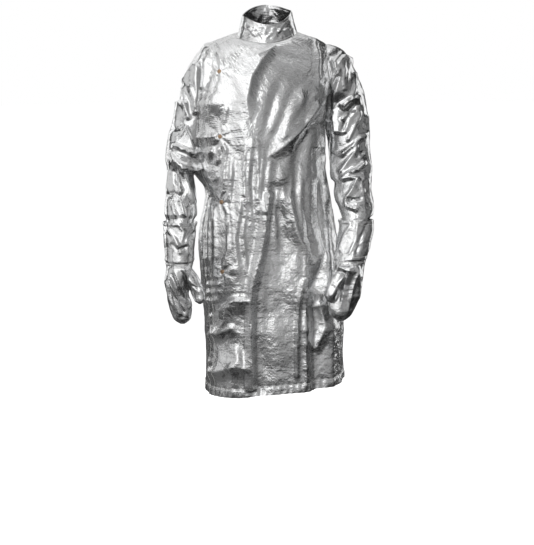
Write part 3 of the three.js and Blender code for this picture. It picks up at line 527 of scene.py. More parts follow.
def facets(across, down, size, seed, turn):
    """Flat three-cornered facets of random rise from -1 to 1, as in crumpled foil."""
    cells = 64  # after which the pattern repeats
    rise = np.random.default_rng(seed).uniform(-1, 1, (cells, cells))
    x = (across * math.cos(turn) - down * math.sin(turn)) / size
    y = (across * math.sin(turn) + down * math.cos(turn)) / size
    skew = (x + y) * (math.sqrt(3) - 1) / 2
    x, y = x + skew, y + skew
    i, j = np.floor(x).astype(int), np.floor(y).astype(int)
    x, y = x - i, y - j
    corner = rise[i % cells, j % cells]
    far = rise[(i + 1) % cells, (j + 1) % cells]
    lower = corner * (1 - x) + rise[(i + 1) % cells, j % cells] * (x - y) + far * y
    upper = corner * (1 - y) + rise[i % cells, (j + 1) % cells] * (y - x) + far * x
    return np.where(x > y, lower, upper)


def crumple(across, down, sizes, seed):
    """Facets of several sizes, each (size, rise), on a wandering lattice."""
    total = 0
    for step, (size, rise) in enumerate(sizes):
        key = seed * 10 + step
        shift = size * 0.55  # how far the lattice wanders
        side = shift * facets(across, down, size * 2.1, key + 3000, 0.4 + step)
        along = shift * facets(across, down, size * 2.3, key + 6000, 1.3 + step)
        total = total + rise * facets(across + side, down + along, size, key, 0.9 * step + 0.2 * seed)
    return total


def seen(points):
    """Where points lie in the view: across and down."""
    ahead = points - VIEW_EYE
    depth = -ahead @ VIEW_BACK
    across = VIEW_FRAME[0] / 2 + VIEW_FOCUS * (ahead @ VIEW_RIGHT) / depth
    return across, VIEW_FRAME[1] / 2 - VIEW_FOCUS * (ahead @ VIEW_UP) / depth


def nearest_on(path, spots):
    """Spots' distance from a path, on its lit side or not, and how far along it that is."""
    best = np.full(len(spots), np.inf)
    side = np.zeros(len(spots))
    along = np.zeros(len(spots))
    run = lengths(path)
    for k in range(len(path) - 1):
        leg = path[k + 1] - path[k]
        size = np.linalg.norm(leg)
        away = np.array([leg[1], -leg[0]]) / size
        away *= np.sign(away @ LIT_SIDE)
        t = np.clip((spots - path[k]) @ leg / size**2, 0, 1)
        gap = spots - path[k] - t[:, None] * leg
        distance = np.linalg.norm(gap, axis=1)
        closer = distance < best
        best = np.where(closer, distance, best)
        side = np.where(closer, gap @ away, side)
        along = np.where(closer, run[k] + t * size, along)
    return best, side > 0, along, run[-1]


def placed_folds(points, normals, folds):
    """Rise of folds placed in the view, on the side of the surface that faces it."""
    shape = points.shape[:-1]
    points, normals = points.reshape(-1, 3), normals.reshape(-1, 3)
    here = np.stack(seen(points), -1) * (VIEW_DISTANCE / VIEW_FOCUS)
    facing = smooth(normals @ VIEW_BACK, 0.02, 0.3)
    total = np.zeros(len(points))
    for rise, lit, shade, crest, path in folds:
        path = np.array(path, float) * (VIEW_DISTANCE / VIEW_FOCUS)
        reach = max(lit, shade)
        inside = np.all((here > path.min(0) - reach) & (here < path.max(0) + reach), axis=1)
        near = np.flatnonzero(inside & (facing > 0))
        if not len(near):
            continue
        distance, is_lit, along, length = nearest_on(path, here[near])
        slope = np.clip(1 - distance / np.where(is_lit, lit, shade), 0, 1)
        profile = slope**2 * (3 - 2 * slope) if crest == 2 else slope**1.4
        ease = min(14, 0.3 * length) if crest == 1 else 0.42 * length
        taper = smooth(along, 0, ease) * smooth(length - along, 0, ease)
        total[near] += rise * profile * taper * facing[near]
    return total.reshape(shape)


def mesh_piece(name, points, faces, flat=None, finish=None):
    """A mesh object from points in millimetres, with the cloth's own metres as its UV map."""
    mesh = bpy.data.meshes.new(name)
    mesh.from_pydata((np.asarray(points) / 1000).tolist(), [], faces)
    if flat is not None:
        corner = np.zeros(len(mesh.loops), np.int32)
        mesh.loops.foreach_get("vertex_index", corner)
        layer = mesh.uv_layers.new(name="cloth")
        layer.data.foreach_set("uv", (flat[corner] / 1000).astype(np.float32).ravel())
    mesh.shade_smooth()
    if finish:
        mesh.materials.append(finish)
    piece = bpy.data.objects.new(name, mesh)
    bpy.context.scene.collection.objects.link(piece)
    return piece


def band_faces(rows, columns, closed):
    """Faces of one grid of points, closed round its rows or not."""
    i, j = np.indices((rows - 1, columns if closed else columns - 1)).reshape(2, -1)
    k = (j + 1) % columns
    return np.stack([i * columns + j, i * columns + k, (i + 1) * columns + k, (i + 1) * columns + j], -1)


def wall_faces(rows, columns, closed, facing):
    """Faces of a closed wall whose outer grid comes first and inner grid second."""
    inner = rows * columns
    outside = band_faces(rows, columns, closed)
    inside = outside[:, [0, 3, 2, 1]] + inner
    j = np.arange(columns if closed else columns - 1)
    k = (j + 1) % columns
    low = (rows - 1) * columns
    top = np.stack([j, inner + j, inner + k, k], -1)
    bottom = np.stack([low + j, low + k, inner + low + k, inner + low + j], -1)
    parts = [outside, inside, top, bottom]
    if not closed:
        i = np.arange(rows - 1) * columns
        e = i + columns - 1
        parts.append(np.stack([i, i + columns, inner + i + columns, inner + i], -1))
        parts.append(np.stack([e, inner + e, inner + e + columns, e + columns], -1))
    faces = np.concatenate(parts)
    return faces if facing > 0 else faces[:, ::-1]


def wall_piece(name, grid, normals, wall, flat, closed, facing, finish):
    """A closed wall of cloth between a grid and its copy one wall inwards."""
    inner = grid - normals * np.broadcast_to(wall, grid.shape[:2])[..., None]
    points = np.concatenate([grid.reshape(-1, 3), inner.reshape(-1, 3)])
    flat = np.concatenate([flat.reshape(-1, 2)] * 2)
    faces = wall_faces(*grid.shape[:2], closed, facing)
    return mesh_piece(name, points, faces.tolist(), flat, finish)


def with_middles(rings):
    """Rings' points, with the middles of the first and the last ring after them."""
    ends = [rings[0].mean(0)[None], rings[-1].mean(0)[None]]
    return np.concatenate([rings.reshape(-1, rings.shape[-1]), *ends])


def solid_piece(name, rings, facing, flat=None, finish=None):
    """A closed solid through rings, with its ends capped."""
    rows, columns = rings.shape[:2]
    first, last = rows * columns, rows * columns + 1
    j = np.arange(columns)
    k = (j + 1) % columns
    low = (rows - 1) * columns
    faces = band_faces(rows, columns, True).tolist()
    faces += np.stack([k, j, np.full(columns, first)], -1).tolist()
    faces += np.stack([low + j, low + k, np.full(columns, last)], -1).tolist()
    if facing < 0:
        faces = [face[::-1] for face in faces]
    if flat is not None:
        flat = with_middles(flat)
    return mesh_piece(name, with_middles(rings), faces, flat, finish)


def baked(piece):
    """Takes a piece's modifiers into its mesh."""
    graph = bpy.context.evaluated_depsgraph_get()
    made = bpy.data.meshes.new_from_object(piece.evaluated_get(graph), depsgraph=graph)
    old = piece.data
    piece.modifiers.clear()
    piece.data = made
    bpy.data.meshes.remove(old)
    return piece


def cut(piece, tools, operation="DIFFERENCE"):
    """Cuts tools from a piece, or joins them to it, and removes them."""
    for tool in tools:
        modifier = piece.modifiers.new(operation.lower(), "BOOLEAN")
        modifier.operation = operation
        modifier.solver = "MANIFOLD"
        modifier.object = tool
    before = len(piece.data.polygons)
    baked(piece)
    if not len(piece.data.polygons) or (operation == "DIFFERENCE" and len(piece.data.polygons) == before):
        raise RuntimeError(f"{piece.name} was not cut")
    for tool in tools:
        bpy.data.objects.remove(tool)
    return piece


def settle(piece, sharp, *nodes, slot="foil_cloth"):
    """Marks a piece's edges, puts it on the body and hides the solids it stands for."""
    piece.data.set_sharp_from_angle(angle=math.radians(sharp))
    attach(piece, "root")
    if nodes:
        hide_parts(*nodes)
    return piece


# Node trees.
class Value:
    """A socket whose sums and products are maths nodes."""

    def __init__(self, nodes, socket):
        self.nodes = nodes
        self.socket = socket

    def maths(self, operation, *values):
        """The result of one maths node."""
        return self.nodes.add("ShaderNodeMath", {"operation": operation}, dict(enumerate(values)))[0]

    def __add__(self, other):
        return self.maths("ADD", self, other)

    def __sub__(self, other):
        return self.maths("SUBTRACT", self, other)

    def __rsub__(self, other):
        return self.maths("SUBTRACT", other, self)

    def __mul__(self, other):
        return self.maths("MULTIPLY", self, other)

    __radd__ = __add__
    __rmul__ = __mul__

    def wave(self, pitch):
        """A sine wave from 0 to 1, one for each pitch."""
        return self.maths("SINE", self * (2 * math.pi / pitch)) * 0.5 + 0.5

    def over(self, low, high):
        """0 at low and 1 at high, held between them."""
        sockets = {"Value": self, "From Min": low, "From Max": high}
        return self.nodes.add("ShaderNodeMapRange", {"clamp": True}, sockets)["Result"]


class Outputs:
    """A node's outputs by name or number."""

    def __init__(self, nodes, made):
        self.nodes = nodes
        self.made = made

    def __getitem__(self, name):
        return Value(self.nodes, self.made.outputs[name])


class Nodes:
    """Fills a node tree."""

    def __init__(self, tree):
        self.tree = tree
        self.tree.nodes.clear()

    def add(self, kind, settings=None, sockets=None):
        """Adds a node; settings are set first, then the values or links of its sockets."""
        made = self.tree.nodes.new(kind)
        for name, value in (settings or {}).items():
            setattr(made, name, value)
        for name, value in (sockets or {}).items():
            if isinstance(value, Value):
                self.tree.links.new(value.socket, made.inputs[name])
            else:
                made.inputs[name].default_value = value
        return Outputs(self, made)

    def noise(self, place, scale, detail, roughness=0.5, **settings):
        """A noise texture, in three dimensions unless the settings say otherwise."""
        sockets = {"Vector": place, "Scale": scale, "Detail": detail, "Roughness": roughness}
        return self.add("ShaderNodeTexNoise", settings, sockets)

    def cells(self, place, scale):
        """Distance from the nearest of the points strewn over a plane."""
        settings = {"voronoi_dimensions": "2D", "feature": "F1"}
        return self.add("ShaderNodeTexVoronoi", settings, {"Vector": place, "Scale": scale})["Distance"]

    def vector(self, operation, *values):
        """The result of one vector maths node."""
        return self.add("ShaderNodeVectorMath", {"operation": operation}, dict(enumerate(values)))["Vector"]

    def bump(self, height, distance=1.0, strength=1.0):
        """The surface's direction over a relief, with its height in metres."""
        sockets = {"Height": height, "Distance": distance, "Strength": strength}
        return self.add("ShaderNodeBump", {}, sockets)["Normal"]

    def mixed(self, factor, first, second):
        """One colour turning into another."""
        settings = {"data_type": "RGBA", "clamp_factor": True}
        return self.add("ShaderNodeMix", settings, {"Factor": factor, 6: (*first, 1), 7: (*second, 1)})[2]


def new_finish(name):
    """A material, and the nodes that fill it."""
    material = bpy.data.materials.new(name)
    material.use_nodes = True
    return material, Nodes(material.node_tree)


def finished(material, nodes, sockets):
    """Ends a material's nodes in a Principled shader."""
    shader = nodes.add("ShaderNodeBsdfPrincipled", {}, sockets)
    nodes.add("ShaderNodeOutputMaterial", {}, {"Surface": shader["BSDF"]})
    return material


def darker(colour, share):
    """A colour at a share of its brightness."""
    return tuple(part * share for part in colour)


# Foil finishes: roughness, depth and size of the fine creases in metres, and pattern.
FOIL_LOOKS = {
    "coat": (0.18, 0.0008, 0.016, 1),
    "back": (0.17, 0.0008, 0.016, 2),
    "sleeve": (0.12, 0.0003, 0.018, 3),
    "mitten": (0.13, 0.0003, 0.013, 4),
    "collar": (0.15, 0.0003, 0.013, 5),
}
PATTERN_STEP = (0.37, 0.61, 0.0)      # metres between one finish's pattern and the next
LINE_SCALE = (16.0, 95.0, 1.0)        # fine drawn lines to a metre, across and down
LINE_SHARE = 0.3                      # of the creases' depth


def foil_finish(context, part):
    """Foil-faced cloth: fine creases over a ribbed weave, with duller patches."""
    look = context.scene.suit_foil
    gloss, depth, size, pattern = FOIL_LOOKS[part]
    material, nodes = new_finish(f"foil_{part}")
    flat = {"noise_dimensions": "2D"}
    cloth = nodes.add("ShaderNodeUVMap", {"uv_map": "cloth"})["UV"]
    parts = nodes.add("ShaderNodeSeparateXYZ", {}, {"Vector": cloth})
    wander = nodes.noise(cloth, 0.7 / size, 2.0, **flat)["Color"]
    spread = nodes.vector("MULTIPLY_ADD", wander, (size, size, 0.0), cloth)
    place = nodes.vector("ADD", spread, tuple(pattern * step for step in PATTERN_STEP))
    creases = nodes.cells(place, 1 / size)
    fine = nodes.cells(place, 2.7 / size)
    soft = nodes.noise(place, 1.6 / size, 3.0, 0.6, **flat)["Fac"]
    ribs = parts["Y"].wave(look.rib_pitch)
    strands = parts["X"].wave(look.rib_pitch * 0.8)
    weave = ribs * (0.65 + 0.35 * soft) + strands * 0.25
    drawn = nodes.vector("MULTIPLY", cloth, LINE_SCALE)
    lines = nodes.noise(drawn, 1.0, 2.0, noise_type="RIDGED_MULTIFRACTAL", **flat)["Fac"]
    height = (
        creases * depth + fine * (depth * 0.4) + soft * (depth * 0.6)
        + lines * (depth * LINE_SHARE) + weave * look.rib_depth
    )
    patches = nodes.noise(place, 9.0, 4.0, 0.55, **flat)["Fac"].over(0.35, 0.68)
    worn = creases.over(0.52, 0.9) * 0.5
    return finished(material, nodes, {
        "Base Color": nodes.mixed(patches * 0.7 + worn * 0.5, look.tint, look.shade),
        "Metallic": 1.0,
        "Roughness": gloss + patches * 0.07 + worn * 0.12 + weave * 0.03,
        "Normal": nodes.bump(height),
    })


def thread_finish(look):
    """Grey thread, twisted."""
    material, nodes = new_finish("grey_thread")
    place = nodes.add("ShaderNodeTexCoord")["Object"]
    tone = nodes.noise(place, 120.0, 2.0)["Fac"]
    twist = nodes.noise(place, 1800.0, 1.0)["Fac"]
    return finished(material, nodes, {
        "Base Color": nodes.mixed(tone, look.colour, darker(look.colour, 0.8)),
        "Roughness": 0.62 + tone * 0.2,
        "Normal": nodes.bump(twist, 0.0002, 0.6),
    })


def brass_finish(look):
    """Brass, rubbed and a little dull."""
    material, nodes = new_finish("snap_brass")
    place = nodes.add("ShaderNodeTexCoord")["Object"]
    wear = nodes.noise(place, 260.0, 4.0)["Fac"]
    marks = nodes.noise(place, 1500.0, 2.0)["Fac"]
    return finished(material, nodes, {
        "Base Color": nodes.mixed(wear.over(0.4, 0.7), look.colour, darker(look.colour, 0.62)),
        "Metallic": 0.9,
        "Roughness": 0.3 + wear * 0.2,
        "Normal": nodes.bump(marks, 0.0001, 0.5),
    })


def floor_finish():
    """A pale, glowing backdrop, all but even."""
    material, nodes = new_finish("pale_floor")
    place = nodes.add("ShaderNodeTexCoord")["Object"]
    mottle = nodes.noise(place, 2.0, 3.0)["Fac"]
    return finished(material, nodes, {
        "Base Color": nodes.mixed(mottle, FLOOR_COLOUR, darker(FLOOR_COLOUR, 0.985)),
        "Roughness": 0.7,
        "Emission Color": (1, 1, 1, 1),
        "Emission Strength": FLOOR_GLOW,
    })


# Sizes and colours that a user may change.
class ClothSizes(bpy.types.PropertyGroup):
    wall: bpy.props.FloatProperty(
        name="Cloth", description="Thickness of the cloth",
        default=0.002, min=0.001, max=0.004, unit="LENGTH")
    turned_wall: bpy.props.FloatProperty(
        name="Turned edge", description="Thickness where an edge is turned and stitched",
        default=0.003, min=0.001, max=0.006, unit="LENGTH")
    hem_turn: bpy.props.FloatProperty(
        name="Hem", description="Height of the turned hem", default=0.026, unit="LENGTH")
    facing: bpy.props.FloatProperty(
        name="Facing", description="Width of the flap's turned edge", default=0.042, unit="LENGTH")
    spacing: bpy.props.FloatProperty(
        name="Mesh spacing", description="Distance between the body's mesh points",
        default=0.0042, unit="LENGTH")
    crumple: bpy.props.FloatProperty(
        name="Crumple", description="Strength of the crumpling, 1 as worn", default=1.0, min=0.0, max=2.0)
    seed: bpy.props.IntProperty(name="Seed", description="Start of the random draws", default=4)


class FoilLook(bpy.types.PropertyGroup):
    tint: bpy.props.FloatVectorProperty(
        name="Foil", description="Colour of the foil", default=(0.86, 0.865, 0.87),
        subtype="COLOR", min=0, max=1)
    shade: bpy.props.FloatVectorProperty(
        name="Dull foil", description="Colour where the foil is rubbed", default=(0.69, 0.69, 0.69),
        subtype="COLOR", min=0, max=1)
    rib_pitch: bpy.props.FloatProperty(
        name="Rib pitch", description="Distance between the weave's ribs", default=0.0045, unit="LENGTH")
    rib_depth: bpy.props.FloatProperty(
        name="Rib depth", description="Height of the weave's ribs", default=0.00009, unit="LENGTH")


class StitchSizes(bpy.types.PropertyGroup):
    pitch: bpy.props.FloatProperty(
        name="Pitch", description="Distance between stitches", default=0.0048, unit="LENGTH")
    length: bpy.props.FloatProperty(
        name="Length", description="Length of a stitch", default=0.0036, unit="LENGTH")
    width: bpy.props.FloatProperty(
        name="Thread", description="Thickness of the thread", default=0.0009, unit="LENGTH")
    colour: bpy.props.FloatVectorProperty(
        name="Thread colour", description="Colour of the thread", default=(0.62, 0.62, 0.60),
        subtype="COLOR", min=0, max=1)


class SnapSizes(bpy.types.PropertyGroup):
    radius: bpy.props.FloatProperty(
        name="Radius", description="Radius of a snap cap", default=0.0062, unit="LENGTH")
    height: bpy.props.FloatProperty(
        name="Height", description="Height of a snap cap", default=0.0024, unit="LENGTH")
    colour: bpy.props.FloatVectorProperty(
        name="Brass", description="Colour of the snap caps", default=(0.50, 0.34, 0.22),
        subtype="COLOR", min=0, max=1)


class StageLook(bpy.types.PropertyGroup):
    floor_level: bpy.props.FloatProperty(
        name="Floor", description="Height of the floor below the collar seam", default=-1.52, unit="LENGTH")
    lights: bpy.props.FloatProperty(
        name="Lights", description="Strength of all the lights, 1 as photographed", default=1.0)
    room: bpy.props.FloatProperty(
        name="Room", description="Brightness of the unlit room", default=0.15)


# Finished surfaces by piece, for what is sewn along them: points, outward directions and
# distances across or down the piece.
surfaces = {}

# Crumpling of each part, as (size, rise) of its facets in millimetres.
BODY_CRUMPLE = [(105, 2.6), (46, 1.5)]
BODY_FINE_CRUMPLE = [(26, 0.75), (12, 0.32)]
BACK_CRUMPLE = [(110, 4.0), (50, 2.0), (22, 0.9), (12, 0.5)]
SLEEVE_CRUMPLE = [(95, 5.0), (46, 2.0), (20, 0.7), (10, 0.3)]
CUFF_CRUMPLE = [(56, 4.6), (28, 1.7), (13, 0.4)]
MITT_CRUMPLE = [(46, 3.0), (23, 1.0), (12, 0.35)]
THUMB_CRUMPLE = [(34, 2.6), (17, 1.2), (9, 0.4)]
COLLAR_CRUMPLE = [(40, 1.3), (20, 0.8), (10, 0.3)]

# How far each part's random draws are from the first.
UNDERLAP_SEED = 1
BACK_SEED = 2
FINE_SEED = 7
SLEEVE_SEED = 20
CUFF_SEED = 30
MITT_SEED = 40
THUMB_SEED = 50
COLLAR_SEED = 60

# Size and seed of gathers and waves along an edge; the wrist's and mouth's seeds differ by side.
SEAM_GATHERS = (12, 77)
FLAP_GATHERS = (16, 5)
FLAP_WAVES = (42, 9)
COLLAR_GATHERS = (8, 61)
WRIST_GATHERS = (9, 60)
MOUTH_WAVES = (24, 80)

# Where each piece's cloth starts on the foil's pattern, in millimetres.
CLOTH_STARTS = {
    "left_front": 0,
    "right_front": 900,
    "back": 1800,
    "right_arm": 2100,
    "left_arm": 3900,
    "right_cuff": 4100,
    "left_cuff": 5900,
    "right_hand": 6100,
    "left_hand": 7900,
    "right_thumb": 8100,
    "left_thumb": 9900,
    "stand_collar": 11000,
}

# Edges of the panels in degrees, and the grids' spacings and steps.
LEFT_SEAM = -SIDE_SEAM_TURN
RIGHT_SEAM = 180 + SIDE_SEAM_TURN
LAPPED = 30                     # degrees that the underlap runs on beneath the flap
UNDER_TUCK = 7                  # millimetres that it lies inwards there
ROW_STEPS = 700                 # along each row, to measure it
SLEEVE_SPACING = 3.4
CUFF_SPACING = 2.6
MITT_SPACING = 2.3
OUTER_LINE_STEPS = 400
COLLAR_ROWS, COLLAR_COLUMNS = 34, 330
THUMB_ROWS, THUMB_COLUMNS = 56, 54
THUMB_ROOT = 5 / 7              # its place between the first two sections of the hand

# Radii that the crumpling is wrapped round.
CUFF_RADIUS = 42
MITT_RADIUS = 34

# Stitch rows, in millimetres from their edge.
FLAP_ROW = 12
HEM_ROW = 2                     # below the upper edge of the hem, and inside the facing's
MOUTH_ROW = 11
WRIST_ROW = 4
COLLAR_BASE_ROW = 5
COLLAR_TOP_ROW = 8
OUTSIDE_UNDERLAP = 90           # from the side seam to where the underlap's row ends
COLLAR_SHOWN = 0.86             # share of the band that carries its rows

# Heights of the small relief beside the edges, in millimetres.
HEM_STEP, HEM_GROOVE, HEM_GATHER = 1.6, 2.2, 2.6
HEM_PITCH = 21
SEAM_GROOVE, SEAM_EDGE, SEAM_GATHER = 1.2, 0.7, 1.1
FACING_STEP, FACING_GATHER = 0.8, 1.4
FLAP_WAVE, FLAP_DROP, FLAP_GROOVE = 2.4, 1.6, 0.8
WRIST_EDGE, WRIST_GATHER, WRIST_GROOVE = 0.6, 0.9, 0.8
MOUTH_STEP, MOUTH_GROOVE, MOUTH_FLARE, MOUTH_WAVE = 0.7, 1.2, 2.4, 1.6
COLLAR_GATHER, COLLAR_STEP, COLLAR_GROOVE = 0.6, 0.5, 0.5
PUCKER_RISE, PUCKER_REACH = 6.5, 24
SLEEVE_END_INSET = 4.5

# Solids that open the armholes and the mittens: insets in millimetres, and how far they go.
BODY_CORE_INSET = 9
ARMHOLE_INSET = 11
ARMHOLE_END = 8                 # the last of the sleeve's sections that is cut out
HAND_HOLLOW_END = 4.6           # the same for the mitten's hand
THUMB_HOLLOW = slice(4, 48)     # the rings of the thumb that are hollowed
HAND_HOLLOW_ABOVE = 30

SIDE_NAMES = {-1: "right", 1: "left"}


def laid_flat(name, across, down):
    """Where a piece's points lie on the foil's pattern."""
    across, down = np.broadcast_arrays(across, down)
    return np.stack([across + CLOTH_STARTS[name], down], -1)


def gathers(along, size, seed):
    """Gathers or waves along an edge, from -1 to 1."""
    return facets(along, along * 0, size, seed, 0)


def hem_shape(up, across, turn):
    """The hem's turned edge: a step, a stitched groove and small gathers."""
    inside = 1 - smooth(up, turn - HEM_ROW, turn + 3)
    small = np.abs((across / HEM_PITCH + 0.4 * np.sin(across / 47)) % 1 - 0.5) * 2
    groove = HEM_GROOVE * ridge(up - turn + HEM_ROW, 3.0)
    return inside * HEM_STEP - groove + inside * HEM_GATHER * (small - 0.5)


def seam_shape(distance, places):
    """A sewn edge: a groove with small gathers, the same on both of its sides."""
    small = SEAM_EDGE + SEAM_GATHER * gathers(places * 34, *SEAM_GATHERS)
    return -SEAM_GROOVE * ridge(distance, 3) + small * ridge(distance - 8, 7)


def off_seam(distance):
    """0 at a side seam and 1 away from it."""
    return smooth(distance, 3, 26)


def straight(angle):
    """A panel's edge that keeps one angle all the way down."""
    return lambda places: np.full_like(places, angle)


def flap_edge(places):
    """The flap's free edge."""
    return curve(BODY["flap"], places)


def lapped_edge(places):
    """The underlap's edge beneath the flap."""
    return flap_edge(places) - LAPPED


class Panel:
    """An even grid over the coat's body between two edges, each an angle for each place."""

    def __init__(self, context, first, last):
        self.sizes = context.scene.suit_cloth
        self.hem = self.sizes.hem_turn * 1000
        spacing = self.sizes.spacing * 1000
        front = straight(90.0)
        rows = int(COAT_LENGTH / spacing)
        places = even_places(lambda p: body_point(p, front(p)), 0, len(BODY["down"]) - 1, rows)
        start, end = first(places), last(places)
        fine = start[:, None] + (end - start)[:, None] * np.linspace(0, 1, ROW_STEPS)
        self.places = places[:, None]
        run = lengths(body_point(self.places, fine))
        share = np.linspace(0, 1, int(run[:, -1].max() / spacing))
        self.angles = np.stack([np.interp(share * r[-1], r, a) for r, a in zip(run, fine)])
        self.grid = body_point(self.places, self.angles)
        self.normals = grid_normals(self.grid, False, 1)
        self.across = run[:, -1:] * share
        self.back_across = self.across[:, -1:] - self.across
        middle = lengths(self.grid[:, len(share) // 2])
        self.up = (middle[-1] - middle)[:, None]
        self.off_top = smooth(self.up.max() - self.up, 2, 26)

    def crumple(self, sizes, step):
        """Crumpling of the panel, with its own random draws."""
        return crumple(self.across, self.up, sizes, self.sizes.seed + step)

    def made(self, name, rise, distance, finish, turned=False):
        """The panel raised off its plain grid, with thicker cloth where it is turned."""
        grid = self.grid + self.normals * rise[..., None]
        surfaces[name] = (grid, grid_normals(grid, False, 1), distance, self.up)
        thick = np.where(turned | (self.up < self.hem), self.sizes.turned_wall, self.sizes.wall) * 1000
        flat = laid_flat(name, self.across, self.up)
        return wall_piece(name, grid, self.normals, thick, flat, False, 1, finish)


def snap_spots():
    """Middles of the snap caps, from the solids, in millimetres."""
    spots = []
    for k in range(1, 5):
        low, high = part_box(f"snap_cap_{k}")
        spots.append(np.array((low + high) / 2) * 1000)
    return spots


def puckers(grid):
    """Star-shaped puckers round the snaps, and how freely the cloth moves there."""
    total = np.zeros(grid.shape[:2])
    free = np.ones(grid.shape[:2])
    for k, spot in enumerate(snap_spots()):
        gap = grid - spot
        distance = np.linalg.norm(gap, axis=-1)
        turn = np.arctan2(gap[..., 2], gap[..., 0])
        rays = 5 + k % 2
        star = 0.4 - ridge(((turn * rays + 1.7 * k) / (2 * math.pi)) % 1 - 0.5, 0.17)
        total += PUCKER_RISE * star * np.exp(-distance / PUCKER_REACH) * smooth(distance, 4, 12)
        free *= smooth(distance, 4, 16)
    return total, free


def make_flap(context, finish):
    """The flap, with its facing, its wavy edge and the puckers round the snaps."""
    panel = Panel(context, straight(LEFT_SEAM), flap_edge)
    sizes, across, up, edge = panel.sizes, panel.across, panel.up, panel.back_across
    facing = sizes.facing * 1000
    star, free = puckers(panel.grid)
    calm = 1 - 0.65 * smooth(up, 560, 760) * smooth(across, 0, 60)  # over the chest
    rise = (
        panel.crumple(BODY_CRUMPLE, 0)
        + panel.crumple(BODY_FINE_CRUMPLE, FINE_SEED) * calm
        + placed_folds(panel.grid, panel.normals, FRONT_FOLDS)
    ) * sizes.crumple * free * (off_seam(across) * panel.off_top)
    rise += star * sizes.crumple + hem_shape(up, across, panel.hem) + seam_shape(across, panel.places)
    small = gathers(up, *FLAP_GATHERS) * ridge(edge - 22, 20)
    rise += (1 - smooth(edge, facing - 2, facing + 3)) * FACING_STEP + FACING_GATHER * small * free
    wave = FLAP_WAVE * gathers(up, *FLAP_WAVES)
    rise += wave * ridge(edge, 24) * smooth(up, 0, 30) - FLAP_DROP * ridge(edge, 5)
    for row in (FLAP_ROW, facing - HEM_ROW):
        rise -= FLAP_GROOVE * ridge(edge - row, 1.8)
    return panel.made("left_front", rise, edge, finish, edge < facing)


def make_underlap(context, finish):
    """The underlap, tucked in and plain beneath the flap."""
    panel = Panel(context, lapped_edge, straight(RIGHT_SEAM))
    seam = panel.back_across
    past = smooth(panel.angles - flap_edge(panel.places), -1, 9)
    fade = off_seam(seam) * panel.off_top * past
    rise = panel.crumple(BODY_CRUMPLE + BODY_FINE_CRUMPLE, UNDERLAP_SEED) * panel.sizes.crumple * fade * 0.8
    inwards = UNDER_TUCK * (1 - past)
    rise += hem_shape(panel.up, panel.across, panel.hem) + seam_shape(seam, panel.places) - inwards
    return panel.made("right_front", rise, seam, finish)


def make_back(context, finish):
    """The back panel."""
    panel = Panel(context, straight(RIGHT_SEAM), straight(360.0 + LEFT_SEAM))
    across, other = panel.across, panel.back_across
    fade = off_seam(across) * off_seam(other) * panel.off_top
    rise = panel.crumple(BACK_CRUMPLE, BACK_SEED) * panel.sizes.crumple * fade
    rise += hem_shape(panel.up, across, panel.hem)
    rise += seam_shape(across, panel.places) + seam_shape(other, panel.places)
    return panel.made("back", rise, across, finish)


def arm_rings(sections, side, turns, shrink=0.0):
    """Rings round an arm's sections, each section an array for each row."""
    tilt = np.radians(sections["tilt"])[:, None]
    outer = np.stack([side * sections["out"], -sections["forward"], -sections["down"]], -1)[:, None]
    inward = np.stack([-side * np.cos(tilt), 0 * tilt, -np.sin(tilt)], -1)
    half = sections["width"][:, None, None] / 2
    ring = outer + inward * half + inward * (half - shrink) * np.cos(turns)[None, :, None]
    ring[..., 1] -= np.sin(turns)[None] * (sections["depth"][:, None] - shrink)
    return ring


def scaled(rows, down, width, depth, start=0.0):
    """A share table's rows in millimetres."""
    return {
        "down": start + rows["down"] * down,
        "out": rows["out"] * ARM_REACH,
        "tilt": rows["tilt"] if "tilt" in rows else 0 * rows["out"],
        "width": rows["width"] * width,
        "depth": rows["depth"] * depth,
        "forward": rows["forward"] * HAND_FORWARD,
    }


def gauntlet_sections(side):
    """The gauntlet's sections, from its mouth to the wrist."""
    return scaled(GAUNTLETS[side], GAUNTLET_LENGTH, GAUNTLET_WIDTH, SLEEVE_HALF_DEPTH, GAUNTLET_TOP)


def hand_sections(side):
    """The mitten's sections, from the wrist to the fingers' end."""
    return scaled(MITTS[side], MITT_LENGTH, MITT_WIDTH, MITT_HALF_DEPTH, WRIST_DOWN + SEAM_GAP)


def sleeve_sections(side, wall):
    """The sleeve's sections; the last two are the gauntlet's own, one wall and a gap smaller."""
    sections = scaled(SLEEVES[side], SLEEVE_LENGTH, SLEEVE_WIDTH, SLEEVE_HALF_DEPTH)
    cuff = gauntlet_sections(side)
    inset = wall + FIT_GAP
    for lap in (0, GAUNTLET_LAP):
        t = lap / (cuff["down"][1] - cuff["down"][0])
        row = {name: v[0] + (v[1] - v[0]) * t for name, v in cuff.items()}
        row.update(out=row["out"] - inset, width=row["width"] - 2 * inset, depth=row["depth"] - inset)
        sections = {name: np.append(v, row[name]) for name, v in sections.items()}
    return sections


def resampled(sections, places):
    """Sections at places between a table's rows."""
    return {name: curve(column, places) for name, column in sections.items()}


def round_crumple(turns, down, radius, sizes, seed):
    """Crumpling that closes on itself round a tube."""
    first = crumple(turns * radius, down, sizes, seed)
    second = crumple((turns - 2 * math.pi) * radius, down, sizes, seed)
    share = smooth(turns, 0, 0.9)
    return second * (1 - share) + first * share


